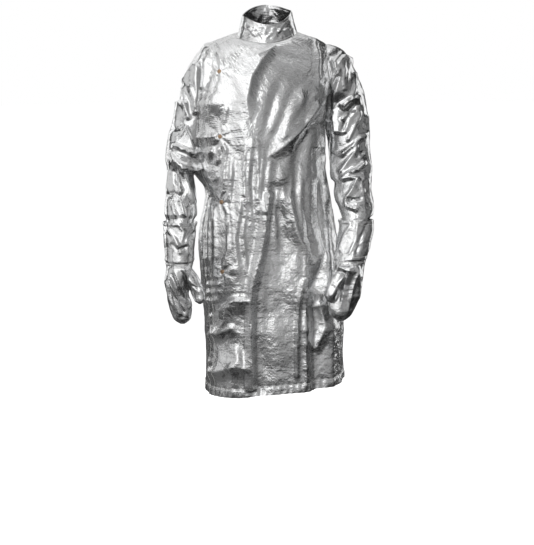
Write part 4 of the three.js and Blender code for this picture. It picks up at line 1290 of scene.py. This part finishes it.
class Tube:
    """An even grid round an arm's sections, with distances across and down its cloth."""

    def __init__(self, context, sections, side, spacing):
        self.sizes = context.scene.suit_cloth
        self.side = side

        def outer_line(places):
            """The outermost line down the tube."""
            return arm_rings(resampled(sections, places), side, np.array([math.pi]))[:, 0]

        last = len(sections["down"]) - 1
        total = lengths(outer_line(np.linspace(0, last, OUTER_LINE_STEPS)))[-1]
        self.places = even_places(outer_line, 0, last, int(total / spacing))
        girth = math.pi * (sections["width"] / 2 + sections["depth"]).max()
        self.turns = np.linspace(0, 2 * math.pi, int(girth / spacing), endpoint=False)
        at = resampled(sections, self.places)
        self.grid = arm_rings(at, side, self.turns)
        self.normals = grid_normals(self.grid, True, -side)
        run = lengths(self.grid[:, len(self.turns) // 2])
        self.across = ((at["width"] / 2 + at["depth"]) / 2)[:, None] * self.turns
        self.down = np.broadcast_to(run[:, None], self.across.shape)
        self.low = self.down.max() - self.down

    def crumple(self, radius, sizes, step):
        """Crumpling of the tube, with its own random draws."""
        return round_crumple(self.turns[None], self.down, radius, sizes, self.sizes.seed + step + self.side)

    def folded(self, rise, folds):
        """Adds the folds of this side."""
        return (rise + placed_folds(self.grid, self.normals, folds[self.side])) * self.sizes.crumple

    def wrist(self, distance):
        """Gathers beside the wrist seam, the same on both of its sides."""
        size, seed = WRIST_GATHERS
        small = WRIST_EDGE + WRIST_GATHER * gathers(self.across, size, seed + self.side)
        return small * ridge(distance - 5, 5)

    def raised(self, name, rise):
        """The tube's finished surface."""
        grid = self.grid + self.normals * rise[..., None]
        surfaces[name] = (grid, grid_normals(grid, True, -self.side), self.down)
        return grid, laid_flat(name, self.across, -self.down)

    def made(self, name, rise, finish):
        """A wall of cloth round the tube."""
        grid, flat = self.raised(name, rise)
        return wall_piece(name, grid, self.normals, self.sizes.wall * 1000, flat, True, -self.side, finish)


def body_core(shrink, columns=170, rows=150):
    """A solid that fills the coat, smaller than its outer surface."""
    places = np.linspace(0, len(BODY["down"]) - 1, rows)
    angles = np.linspace(0, 360, columns, endpoint=False)
    grid = body_point(places[:, None], angles[None])
    grid = grid - grid_normals(grid, True, 1) * shrink
    lid = grid[0] + np.array([0, 0, COLLAR_HEIGHT])
    return solid_piece("body_core", np.concatenate([lid[None], grid]), 1)


def sleeve_core(side, columns=90, rows=60):
    """A solid inside the upper sleeve, to open the armhole."""
    sections = resampled(sleeve_sections(side, 2), np.linspace(0, ARMHOLE_END, rows))
    turns = np.linspace(0, 2 * math.pi, columns, endpoint=False)
    return solid_piece("sleeve_core", arm_rings(sections, side, turns, ARMHOLE_INSET), -side)


def make_sleeve(context, side, finish):
    """A sleeve, cut off at the coat's body and narrowed into its gauntlet."""
    sections = sleeve_sections(side, context.scene.suit_cloth.wall * 1000)
    tube = Tube(context, sections, side, SLEEVE_SPACING)
    rise = tube.folded(tube.crumple(SLEEVE_WIDTH / 2, SLEEVE_CRUMPLE, SLEEVE_SEED), SLEEVE_FOLDS)
    rise *= smooth(tube.low, GAUNTLET_LAP + 2, 40)
    rise -= SLEEVE_END_INSET * (1 - smooth(tube.low, GAUNTLET_LAP + 4, 42))
    return cut(tube.made(f"{SIDE_NAMES[side]}_arm", rise, finish), [body_core(BODY_CORE_INSET)])


def make_gauntlet(context, side, finish):
    """A mitten's gauntlet, with its flared and turned mouth."""
    tube = Tube(context, gauntlet_sections(side), side, CUFF_SPACING)
    down, low = tube.down, tube.low
    rise = tube.crumple(CUFF_RADIUS, CUFF_CRUMPLE, CUFF_SEED)
    rise = tube.folded(np.abs(rise) * 0.8 + rise * 0.3, GAUNTLET_FOLDS)
    rise *= smooth(down, -16, 14) * smooth(low, -6, 10)
    rise += tube.wrist(low) + MOUTH_STEP * (1 - smooth(down, MOUTH_ROW - 1, MOUTH_ROW + 2))
    rise -= MOUTH_GROOVE * ridge(down - MOUTH_ROW, 1.8)
    size, seed = MOUTH_WAVES
    flare = MOUTH_FLARE + MOUTH_WAVE * gathers(tube.across, size, seed + side)
    rise += flare * ridge(down, 12) - WRIST_GROOVE * ridge(low, 3)
    return tube.made(f"{SIDE_NAMES[side]}_cuff", rise, finish)


def thumb_rings(side):
    """Rings of a thumb about its bent middle line."""
    hand = hand_sections(side)
    root = np.array([
        side * (hand["out"][0] - hand["width"][0] + THUMB_RADIUS),
        -curve(hand["forward"], np.array([THUMB_ROOT]))[0] - THUMB_RADIUS / 2,
        -hand["down"][0] - THUMB_RADIUS,
    ])
    at = resampled(THUMBS[side], np.linspace(0, len(THUMBS[side]["down"]) - 1, THUMB_ROWS))
    middle = root + np.stack([-side * at["inward"], -at["ahead"], -at["down"]], -1) * THUMB_LENGTH
    radius = np.maximum(at["size"] * THUMB_RADIUS, 1)
    turns = np.linspace(0, 2 * math.pi, THUMB_COLUMNS, endpoint=False)
    ring = np.repeat(middle[:, None], THUMB_COLUMNS, 1)
    ring[..., 0] -= side * np.cos(turns) * radius[:, None]
    ring[..., 1] -= np.sin(turns) * radius[:, None]
    return ring, turns


def thumb_surface(sizes, side):
    """A thumb's finished rings, its outward directions and its place on the pattern."""
    ring, turns = thumb_rings(side)
    normals = grid_normals(ring, True, -side)
    down = np.broadcast_to(np.linspace(0, THUMB_LENGTH, THUMB_ROWS)[:, None], ring.shape[:2])
    rise = round_crumple(turns[None], down, THUMB_RADIUS, THUMB_CRUMPLE, sizes.seed + THUMB_SEED + side)
    rise = rise + placed_folds(ring, normals, THUMB_FOLDS[side])
    rise = rise * sizes.crumple * smooth(down.max() - down, 2, 24)
    flat = laid_flat(f"{SIDE_NAMES[side]}_thumb", turns * THUMB_RADIUS, -down)
    return ring + normals * rise[..., None], normals, flat


def make_mitt(context, side, finish):
    """A mitten's hand and thumb, hollow and open at the wrist."""
    name = f"{SIDE_NAMES[side]}_hand"
    tube = Tube(context, hand_sections(side), side, MITT_SPACING)
    wall = tube.sizes.wall * 1000
    rise = tube.folded(tube.crumple(MITT_RADIUS, MITT_CRUMPLE, MITT_SEED), MITT_FOLDS)
    rise *= smooth(tube.down, 0, 16) * smooth(tube.low, 4, 40)
    rise += tube.wrist(tube.down) - WRIST_GROOVE * ridge(tube.down, 3)
    hand, flat = tube.raised(name, rise)
    mitt = solid_piece(name, hand, -side, flat, finish)
    thumb, thumb_normals, flat = thumb_surface(tube.sizes, side)
    cut(mitt, [solid_piece("thumb", thumb, -side, flat, finish)], "UNION")
    inner = (hand - surfaces[name][1] * wall)[tube.places < HAND_HOLLOW_END]
    above = inner[:1] + np.array([0, 0, HAND_HOLLOW_ABOVE])
    return cut(mitt, [
        solid_piece("hand_hollow", np.concatenate([above, inner]), -side),
        solid_piece("thumb_hollow", (thumb - thumb_normals * wall)[THUMB_HOLLOW], -side),
    ])


def make_collar(context, finish):
    """The stand collar, one band round the neck whose end tucks in under its start."""
    sizes = context.scene.suit_cloth
    passed = np.linspace(0, COLLAR_FLAP_ANGLE + 360 - COLLAR_UNDER_ANGLE, COLLAR_COLUMNS)[None]
    up = np.linspace(0, 1, COLLAR_ROWS)[:, None]
    angle = COLLAR_FLAP_ANGLE - passed
    tuck = smooth(passed, 360 - COLLAR_TUCK_TURN, 360 - COLLAR_TUCK_END)
    base = body_point(np.zeros_like(angle), angle % 360)
    inset = tuck * (COLLAR_WALL + LAYER_GAP) / np.hypot(base[..., 0], base[..., 1])
    sin = np.sin(np.radians(angle))
    height = np.where(sin > 0, 1 - COLLAR_FRONT_DIP * sin, 1 - COLLAR_BACK_RISE * sin)
    across = 1 - COLLAR_LEAN * up - inset
    grid = np.stack([
        base[..., 0] * across,
        base[..., 1] * (across + COLLAR_DEEPEN * up),
        base[..., 2] + SEAM_GAP + COLLAR_HEIGHT * height * up,
    ], -1)
    normals = grid_normals(grid, False, 1)
    normals = -normals if normals[0, 0] @ np.array([-1, -1, 0]) < 0 else normals
    run = lengths(grid[0])[None]
    rows = up * COLLAR_HEIGHT
    low = COLLAR_HEIGHT - rows
    free = smooth(run, 0, 12) * smooth(np.minimum(rows, low), 1, 14) * (1 - tuck)
    rise = crumple(run, rows, COLLAR_CRUMPLE, sizes.seed + COLLAR_SEED)
    rise += placed_folds(grid, normals, COLLAR_FOLDS)
    small = COLLAR_GATHER * gathers(run, *COLLAR_GATHERS) * ridge(rows - 5, 5)
    rise = rise * free * sizes.crumple + small * (1 - tuck)
    rise += COLLAR_STEP * (1 - smooth(low, COLLAR_TOP_ROW - 1, COLLAR_TOP_ROW + 1)) * (1 - tuck)
    rise -= COLLAR_GROOVE * ridge(low - COLLAR_TOP_ROW, 1.4) * (1 - tuck)
    grid = grid + normals * rise[..., None]
    surfaces["stand_collar"] = (grid, normals, run, rows)
    facing = 1 if np.cross(grid[0, 1] - grid[0, 0], grid[1, 0] - grid[0, 0]) @ normals[0, 0] > 0 else -1
    flat = laid_flat("stand_collar", run, rows)
    return wall_piece("stand_collar", grid, normals, COLLAR_WALL, flat, False, facing, finish)


# Stitches and snaps.
def row_tree(name, single, finish):
    """Geometry nodes that set one shape along paths, at a pitch, upright on the cloth."""
    tree = bpy.data.node_groups.new(name, "GeometryNodeTree")
    tree.interface.new_socket("Paths", in_out="INPUT", socket_type="NodeSocketGeometry")
    sizes = {}
    for title in ("Pitch", "Length", "Width"):
        made = tree.interface.new_socket(title, in_out="INPUT", socket_type="NodeSocketFloat")
        sizes[title] = made.identifier
    tree.interface.new_socket("Row", in_out="OUTPUT", socket_type="NodeSocketGeometry")
    nodes = Nodes(tree)
    given = nodes.add("NodeGroupInput")
    lift = nodes.add("GeometryNodeInputNamedAttribute", {"data_type": "FLOAT_VECTOR"}, {"Name": "lift"})
    ways = {0: lift["Attribute"]}
    if single is None:
        line = nodes.add("GeometryNodeMeshToCurve", {}, {"Mesh": given["Paths"]})["Curve"]
        spaced = {"Curve": line, "Length": given["Pitch"]}
        spots = nodes.add("GeometryNodeResampleCurve", {"mode": "LENGTH"}, spaced)["Curve"]
        ways[1] = nodes.add("GeometryNodeInputTangent")["Tangent"]
        shape = nodes.add("GeometryNodeMeshUVSphere", {}, {"Segments": 6, "Rings": 4, "Radius": 0.5})["Mesh"]
        spans = {"X": given["Length"], "Y": given["Width"], "Z": given["Width"]}
        sized = {"Scale": nodes.add("ShaderNodeCombineXYZ", {}, spans)["Vector"]}
    else:
        spots = given["Paths"]
        shape = nodes.add("GeometryNodeObjectInfo", {}, {"Object": single})["Geometry"]
        sized = {}
    axes = {"primary_axis": "Z", "secondary_axis": "X"}
    turn = nodes.add("FunctionNodeAxesToRotation", axes, ways)["Rotation"]
    placed = {"Points": spots, "Instance": shape, "Rotation": turn, **sized}
    row = nodes.add("GeometryNodeInstanceOnPoints", {}, placed)["Instances"]
    real = nodes.add("GeometryNodeRealizeInstances", {}, {"Geometry": row})["Geometry"]
    painted = nodes.add("GeometryNodeSetMaterial", {}, {"Geometry": real, "Material": finish})["Geometry"]
    nodes.add("NodeGroupOutput", {}, {"Row": painted})
    return tree, sizes


def row_piece(name, paths, single, finish, values):
    """Runs the row tree over paths, each (points, directions), and keeps its mesh."""
    points = np.concatenate([p for p, _ in paths]) / 1000
    lifts = np.concatenate([n for _, n in paths])
    edges = []
    start = 0
    for path, _ in paths:
        edges += [(start + k, start + k + 1) for k in range(len(path) - 1)]
        start += len(path)
    mesh = bpy.data.meshes.new(name)
    mesh.from_pydata(points.tolist(), edges, [])
    layer = mesh.attributes.new("lift", "FLOAT_VECTOR", "POINT")
    layer.data.foreach_set("vector", lifts.astype(np.float32).ravel())
    piece = bpy.data.objects.new(name, mesh)
    bpy.context.scene.collection.objects.link(piece)
    tree, sizes = row_tree(f"{name}_row", single, finish)
    modifier = piece.modifiers.new("row", "NODES")
    modifier.node_group = tree
    for title, value in values.items():
        modifier[sizes[title]] = value
    return baked(piece)


def grid_line(grid, normals, level, distance, lift=0.5):
    """The line on a grid where a distance that changes along the rows has a value."""
    points, lifts = [], []
    for spots, ways, value in zip(grid, normals, np.broadcast_to(distance, grid.shape[:2])):
        if value.min() > level or value.max() < level:
            continue
        order = np.argsort(value)
        spot = np.array([np.interp(level, value[order], column) for column in spots[order].T])
        away = np.array([np.interp(level, value[order], column) for column in ways[order].T])
        points.append(spot + away * lift)
        lifts.append(away)
    return np.array(points), np.array(lifts)


def turned_line(grid, normals, level, distance, lift=0.5):
    """The same, where the distance changes down the columns."""
    shape = np.broadcast_to(distance, grid.shape[:2])
    return grid_line(grid.transpose(1, 0, 2), normals.transpose(1, 0, 2), level, shape.T, lift)


def closed_line(points, lifts):
    """A line that ends where it began."""
    return np.concatenate([points, points[:1]]), np.concatenate([lifts, lifts[:1]])


class SUIT_OT_body(bpy.types.Operator):
    """Builds the flap, the underlap and the back, with the armholes open"""
    bl_idname = "suit.body"
    bl_label = "Coat body"

    def execute(self, context):
        finish = foil_finish(context, "coat")
        flap = make_flap(context, finish)
        underlap = make_underlap(context, finish)
        back = make_back(context, foil_finish(context, "back"))
        cut(flap, [sleeve_core(1)])
        cut(underlap, [sleeve_core(-1)])
        cut(back, [sleeve_core(1), sleeve_core(-1)])
        settle(flap, 50, "left_front_flap")
        settle(underlap, 50, "right_front_underlap")
        settle(back, 50, "back_panel")
        return {"FINISHED"}


class SUIT_OT_collar(bpy.types.Operator):
    """Builds the stand collar"""
    bl_idname = "suit.collar"
    bl_label = "Stand collar"

    def execute(self, context):
        settle(make_collar(context, foil_finish(context, "collar")), 50, "collar")
        return {"FINISHED"}


class SUIT_OT_sleeves(bpy.types.Operator):
    """Builds both sleeves, cut to the coat's body"""
    bl_idname = "suit.sleeves"
    bl_label = "Sleeves"

    def execute(self, context):
        finish = foil_finish(context, "sleeve")
        for side in (-1, 1):
            settle(make_sleeve(context, side, finish), 50, f"{SIDE_NAMES[side]}_sleeve")
        return {"FINISHED"}


class SUIT_OT_mittens(bpy.types.Operator):
    """Builds the gauntlets and the mittens' hands"""
    bl_idname = "suit.mittens"
    bl_label = "Gauntlet mittens"

    def execute(self, context):
        finish = foil_finish(context, "mitten")
        for side in (-1, 1):
            name = SIDE_NAMES[side]
            settle(make_gauntlet(context, side, finish), 50, f"{name}_gauntlet")
            settle(make_mitt(context, side, finish), 50, f"{name}_mitt")
        return {"FINISHED"}


class SUIT_OT_stitches(bpy.types.Operator):
    """Sews the stitch rows of the hem, flap, collar and cuffs"""
    bl_idname = "suit.stitches"
    bl_label = "Stitching"

    def execute(self, context):
        sizes = context.scene.suit_cloth
        look = context.scene.suit_stitch
        hem, facing = sizes.hem_turn * 1000 - HEM_ROW, sizes.facing * 1000 - HEM_ROW
        rows = []
        grid, normals, edge, up = surfaces["left_front"]
        rows.append(turned_line(grid, normals, hem, up))
        for level in (FLAP_ROW, facing):
            rows.append(grid_line(grid, normals, level, edge))
        grid, normals, seam, up = surfaces["right_front"]
        outside = seam[0] < OUTSIDE_UNDERLAP
        rows.append(turned_line(grid[:, outside], normals[:, outside], hem, up))
        grid, normals, _, up = surfaces["back"]
        rows.append(turned_line(grid, normals, hem, up))
        grid, normals, run, up = surfaces["stand_collar"]
        shown = run[0] < run[0, -1] * COLLAR_SHOWN
        for level in (COLLAR_BASE_ROW, COLLAR_HEIGHT - COLLAR_TOP_ROW):
            rows.append(turned_line(grid[:, shown], normals[:, shown], level, up))
        for side in SIDE_NAMES.values():
            grid, normals, down = surfaces[f"{side}_cuff"]
            for level in (MOUTH_ROW, GAUNTLET_LENGTH - WRIST_ROW):
                rows.append(closed_line(*turned_line(grid, normals, level, down)))
            grid, normals, down = surfaces[f"{side}_hand"]
            rows.append(closed_line(*turned_line(grid, normals, WRIST_ROW, down)))
        finish = thread_finish(look)
        values = {"Pitch": look.pitch, "Length": look.length, "Width": look.width}
        settle(row_piece("stitches", rows, None, finish, values), 60)
        return {"FINISHED"}


# Outline of a snap cap, as shares of its radius and height.
CAP_PROFILE = table("out up", [
    (1.02, -0.55), (1.06, -0.2), (1.04, 0.12), (0.97, 0.42), (0.86, 0.68), (0.74, 0.80),
    (0.66, 0.78), (0.60, 0.70), (0.50, 0.70), (0.44, 0.80), (0.22, 0.92),
])
CAP_STEPS = 32


class SUIT_OT_snaps(bpy.types.Operator):
    """Sets the snap caps down the flap"""
    bl_idname = "suit.snaps"
    bl_label = "Snap caps"

    def execute(self, context):
        look = context.scene.suit_snap
        radius, height = look.radius, look.height
        turns = np.linspace(0, 2 * math.pi, CAP_STEPS, endpoint=False)
        rings = np.stack([
            np.outer(CAP_PROFILE["out"] * radius, np.cos(turns)),
            np.outer(CAP_PROFILE["out"] * radius, np.sin(turns)),
            np.repeat(CAP_PROFILE["up"][:, None] * height, CAP_STEPS, 1),
        ], -1) * 1000
        cap = solid_piece("cap", rings, 1)
        grid, normals = surfaces["left_front"][:2]
        spots, lifts = [], []
        for spot in snap_spots():
            row, column = np.unravel_index(np.argmin(np.linalg.norm(grid - spot, axis=-1)), grid.shape[:2])
            away = normals[row - 2:row + 3, column - 2:column + 3].reshape(-1, 3).mean(0)
            away /= np.linalg.norm(away)
            lifts.append(away)
            spots.append(spot - away * height * 500)
        path = (np.array(spots), np.array(lifts))
        snaps = row_piece("snap_caps", [path], cap, brass_finish(look), {})
        bpy.data.objects.remove(cap)
        settle(snaps, 40, *(f"snap_cap_{k}" for k in range(1, 5)), slot="snap_brass")
        return {"FINISHED"}


# Lights round the coat: azimuth from the front towards its left, elevation,
# distance, width and height in metres, and radiance.
STAGE_LIGHTS = [
    ("key_edge", -14, 18, 2.9, 0.45, 2.6, 1.0),
    ("key_near", -27, 22, 2.9, 1.0, 2.9, 1.2),
    ("key_middle", -44, 20, 2.9, 0.8, 2.9, 0.9),
    ("key_far", -62, 22, 2.9, 0.9, 2.9, 0.95),
    ("key_side", -97, 14, 2.8, 1.9, 2.4, 0.5),
    ("low_left", -38, -22, 2.8, 1.8, 0.7, 0.14),
    ("low_side", -92, -19, 2.8, 2.2, 0.8, 0.14),
    ("high_left", -70, 60, 2.6, 2.2, 1.2, 0.55),
    ("grey_wall", 1, 2, 3.0, 1.45, 2.4, 0.40),
    ("grey_right", 35, 2, 3.0, 2.0, 2.4, 0.25),
    ("grey_high", 25, 44, 3.0, 2.8, 1.6, 0.32),
    ("grey_side", 76, 6, 3.0, 1.8, 2.2, 0.09),
    ("high_right", 78, 60, 2.6, 2.2, 1.4, 0.18),
    ("right_strip", 118, 10, 2.6, 1.2, 2.4, 1.0),
    ("left_strip", -142, 15, 2.6, 0.9, 2.4, 1.1),
    ("top", 0, 86, 2.6, 2.2, 2.2, 0.75),
    ("back_high", 180, 56, 2.6, 2.6, 1.4, 0.7),
    ("back", 180, 15, 3.0, 2.2, 2.4, 0.9),
]
LIT_MIDDLE = Vector((0, 0, -0.55))
FLOOR_REACH = 40000             # millimetres each way
FLOOR_COLOUR = (0.8, 0.8, 0.8)
FLOOR_GLOW = 0.95


class SUIT_OT_stage(bpy.types.Operator):
    """Sets the floor, the lights and the camera"""
    bl_idname = "suit.stage"
    bl_label = "Stage"

    def execute(self, context):
        look = context.scene.suit_stage
        level = look.floor_level * 1000
        square = ((-1, -1), (1, -1), (1, 1), (-1, 1))
        corners = [(x * FLOOR_REACH, y * FLOOR_REACH, level) for x, y in square]
        floor = mesh_piece("floor", corners, [(0, 1, 2, 3)], None, floor_finish())
        floor.visible_glossy = False
        context.scene.view_settings.view_transform = "Standard"
        for light in STAGE_LIGHTS:
            self.light(look.lights, *light)
        self.world(context, look.room)
        camera = bpy.data.cameras.new("view")
        camera.lens = VIEW_LENS
        camera.sensor_width = VIEW_SENSOR
        holder = bpy.data.objects.new("view", camera)
        context.scene.collection.objects.link(holder)
        turn = Matrix([VIEW_RIGHT, VIEW_UP, VIEW_BACK]).transposed().to_4x4()
        holder.matrix_world = Matrix.Translation(Vector(VIEW_EYE / 1000)) @ turn
        context.scene.camera = holder
        return {"FINISHED"}

    def light(self, strength, name, azimuth, elevation, distance, width, height, radiance):
        """A soft rectangular light that faces the coat's middle."""
        lamp = bpy.data.lights.new(name, "AREA")
        lamp.shape = "RECTANGLE"
        lamp.size, lamp.size_y = width, height
        lamp.energy = radiance * strength * math.pi * width * height
        holder = bpy.data.objects.new(name, lamp)
        bpy.context.scene.collection.objects.link(holder)
        back = Vector(direction(azimuth, elevation))
        holder.location = LIT_MIDDLE + back * distance
        holder.rotation_euler = back.to_track_quat("Z", "Y").to_euler()

    def world(self, context, room):
        """A pale backdrop for the camera, and a dim, uneven room for the foil to reflect."""
        world = bpy.data.worlds.new("room")
        world.use_nodes = True
        context.scene.world = world
        nodes = Nodes(world.node_tree)
        way = nodes.add("ShaderNodeTexCoord")["Generated"]
        parts = nodes.add("ShaderNodeSeparateXYZ", {}, {"Vector": way})
        grey = 0.25 + 1.5 * nodes.noise(way, 2.6, 1.0)["Fac"].over(0.44, 0.56)
        towards_left = 1 - 0.5 * parts["X"].over(-0.4, 0.5)
        lift = 0.7 + 0.5 * parts["Z"].over(-0.6, 0.5)
        dim = nodes.add("ShaderNodeBackground", {}, {"Strength": grey * towards_left * lift * room})
        pale = nodes.add("ShaderNodeBackground", {}, {"Color": (1, 1, 1, 1), "Strength": 1.0})
        shown = nodes.add("ShaderNodeLightPath")["Is Camera Ray"]
        mix = nodes.add("ShaderNodeMixShader", {}, {0: shown, 1: dim["Background"], 2: pale["Background"]})
        nodes.add("ShaderNodeOutputWorld", {}, {"Surface": mix["Shader"]})


class SUIT_PT_panel(bpy.types.Panel):
    """Sizes and steps of the suit"""
    bl_idname = "SUIT_PT_panel"
    bl_label = "Aluminized suit"
    bl_space_type = "VIEW_3D"
    bl_region_type = "UI"
    bl_category = "Suit"

    def draw(self, context):
        for group, kind in GROUPS.items():
            box = self.layout.box()
            for name in kind.__annotations__:
                box.prop(getattr(context.scene, group), name)
        for kind in OPERATORS:
            self.layout.operator(kind.bl_idname)


GROUPS = {
    "suit_cloth": ClothSizes,
    "suit_foil": FoilLook,
    "suit_stitch": StitchSizes,
    "suit_snap": SnapSizes,
    "suit_stage": StageLook,
}
OPERATORS = (
    SUIT_OT_body,
    SUIT_OT_collar,
    SUIT_OT_sleeves,
    SUIT_OT_mittens,
    SUIT_OT_stitches,
    SUIT_OT_snaps,
    SUIT_OT_stage,
)


def register():
    """Adds the sizes, the steps and the panel."""
    for kind in (*GROUPS.values(), *OPERATORS, SUIT_PT_panel):
        bpy.utils.register_class(kind)
    for name, kind in GROUPS.items():
        setattr(bpy.types.Scene, name, bpy.props.PointerProperty(type=kind))


def unregister():
    """Takes them out again."""
    for name in GROUPS:
        delattr(bpy.types.Scene, name)
    for kind in reversed((*GROUPS.values(), *OPERATORS, SUIT_PT_panel)):
        bpy.utils.unregister_class(kind)


def main():
    """Builds the suit step by step."""
    register()
    for kind in OPERATORS:
        group, name = kind.bl_idname.split(".")
        getattr(getattr(bpy.ops, group), name)()


if __name__ == "__main__":
    main()
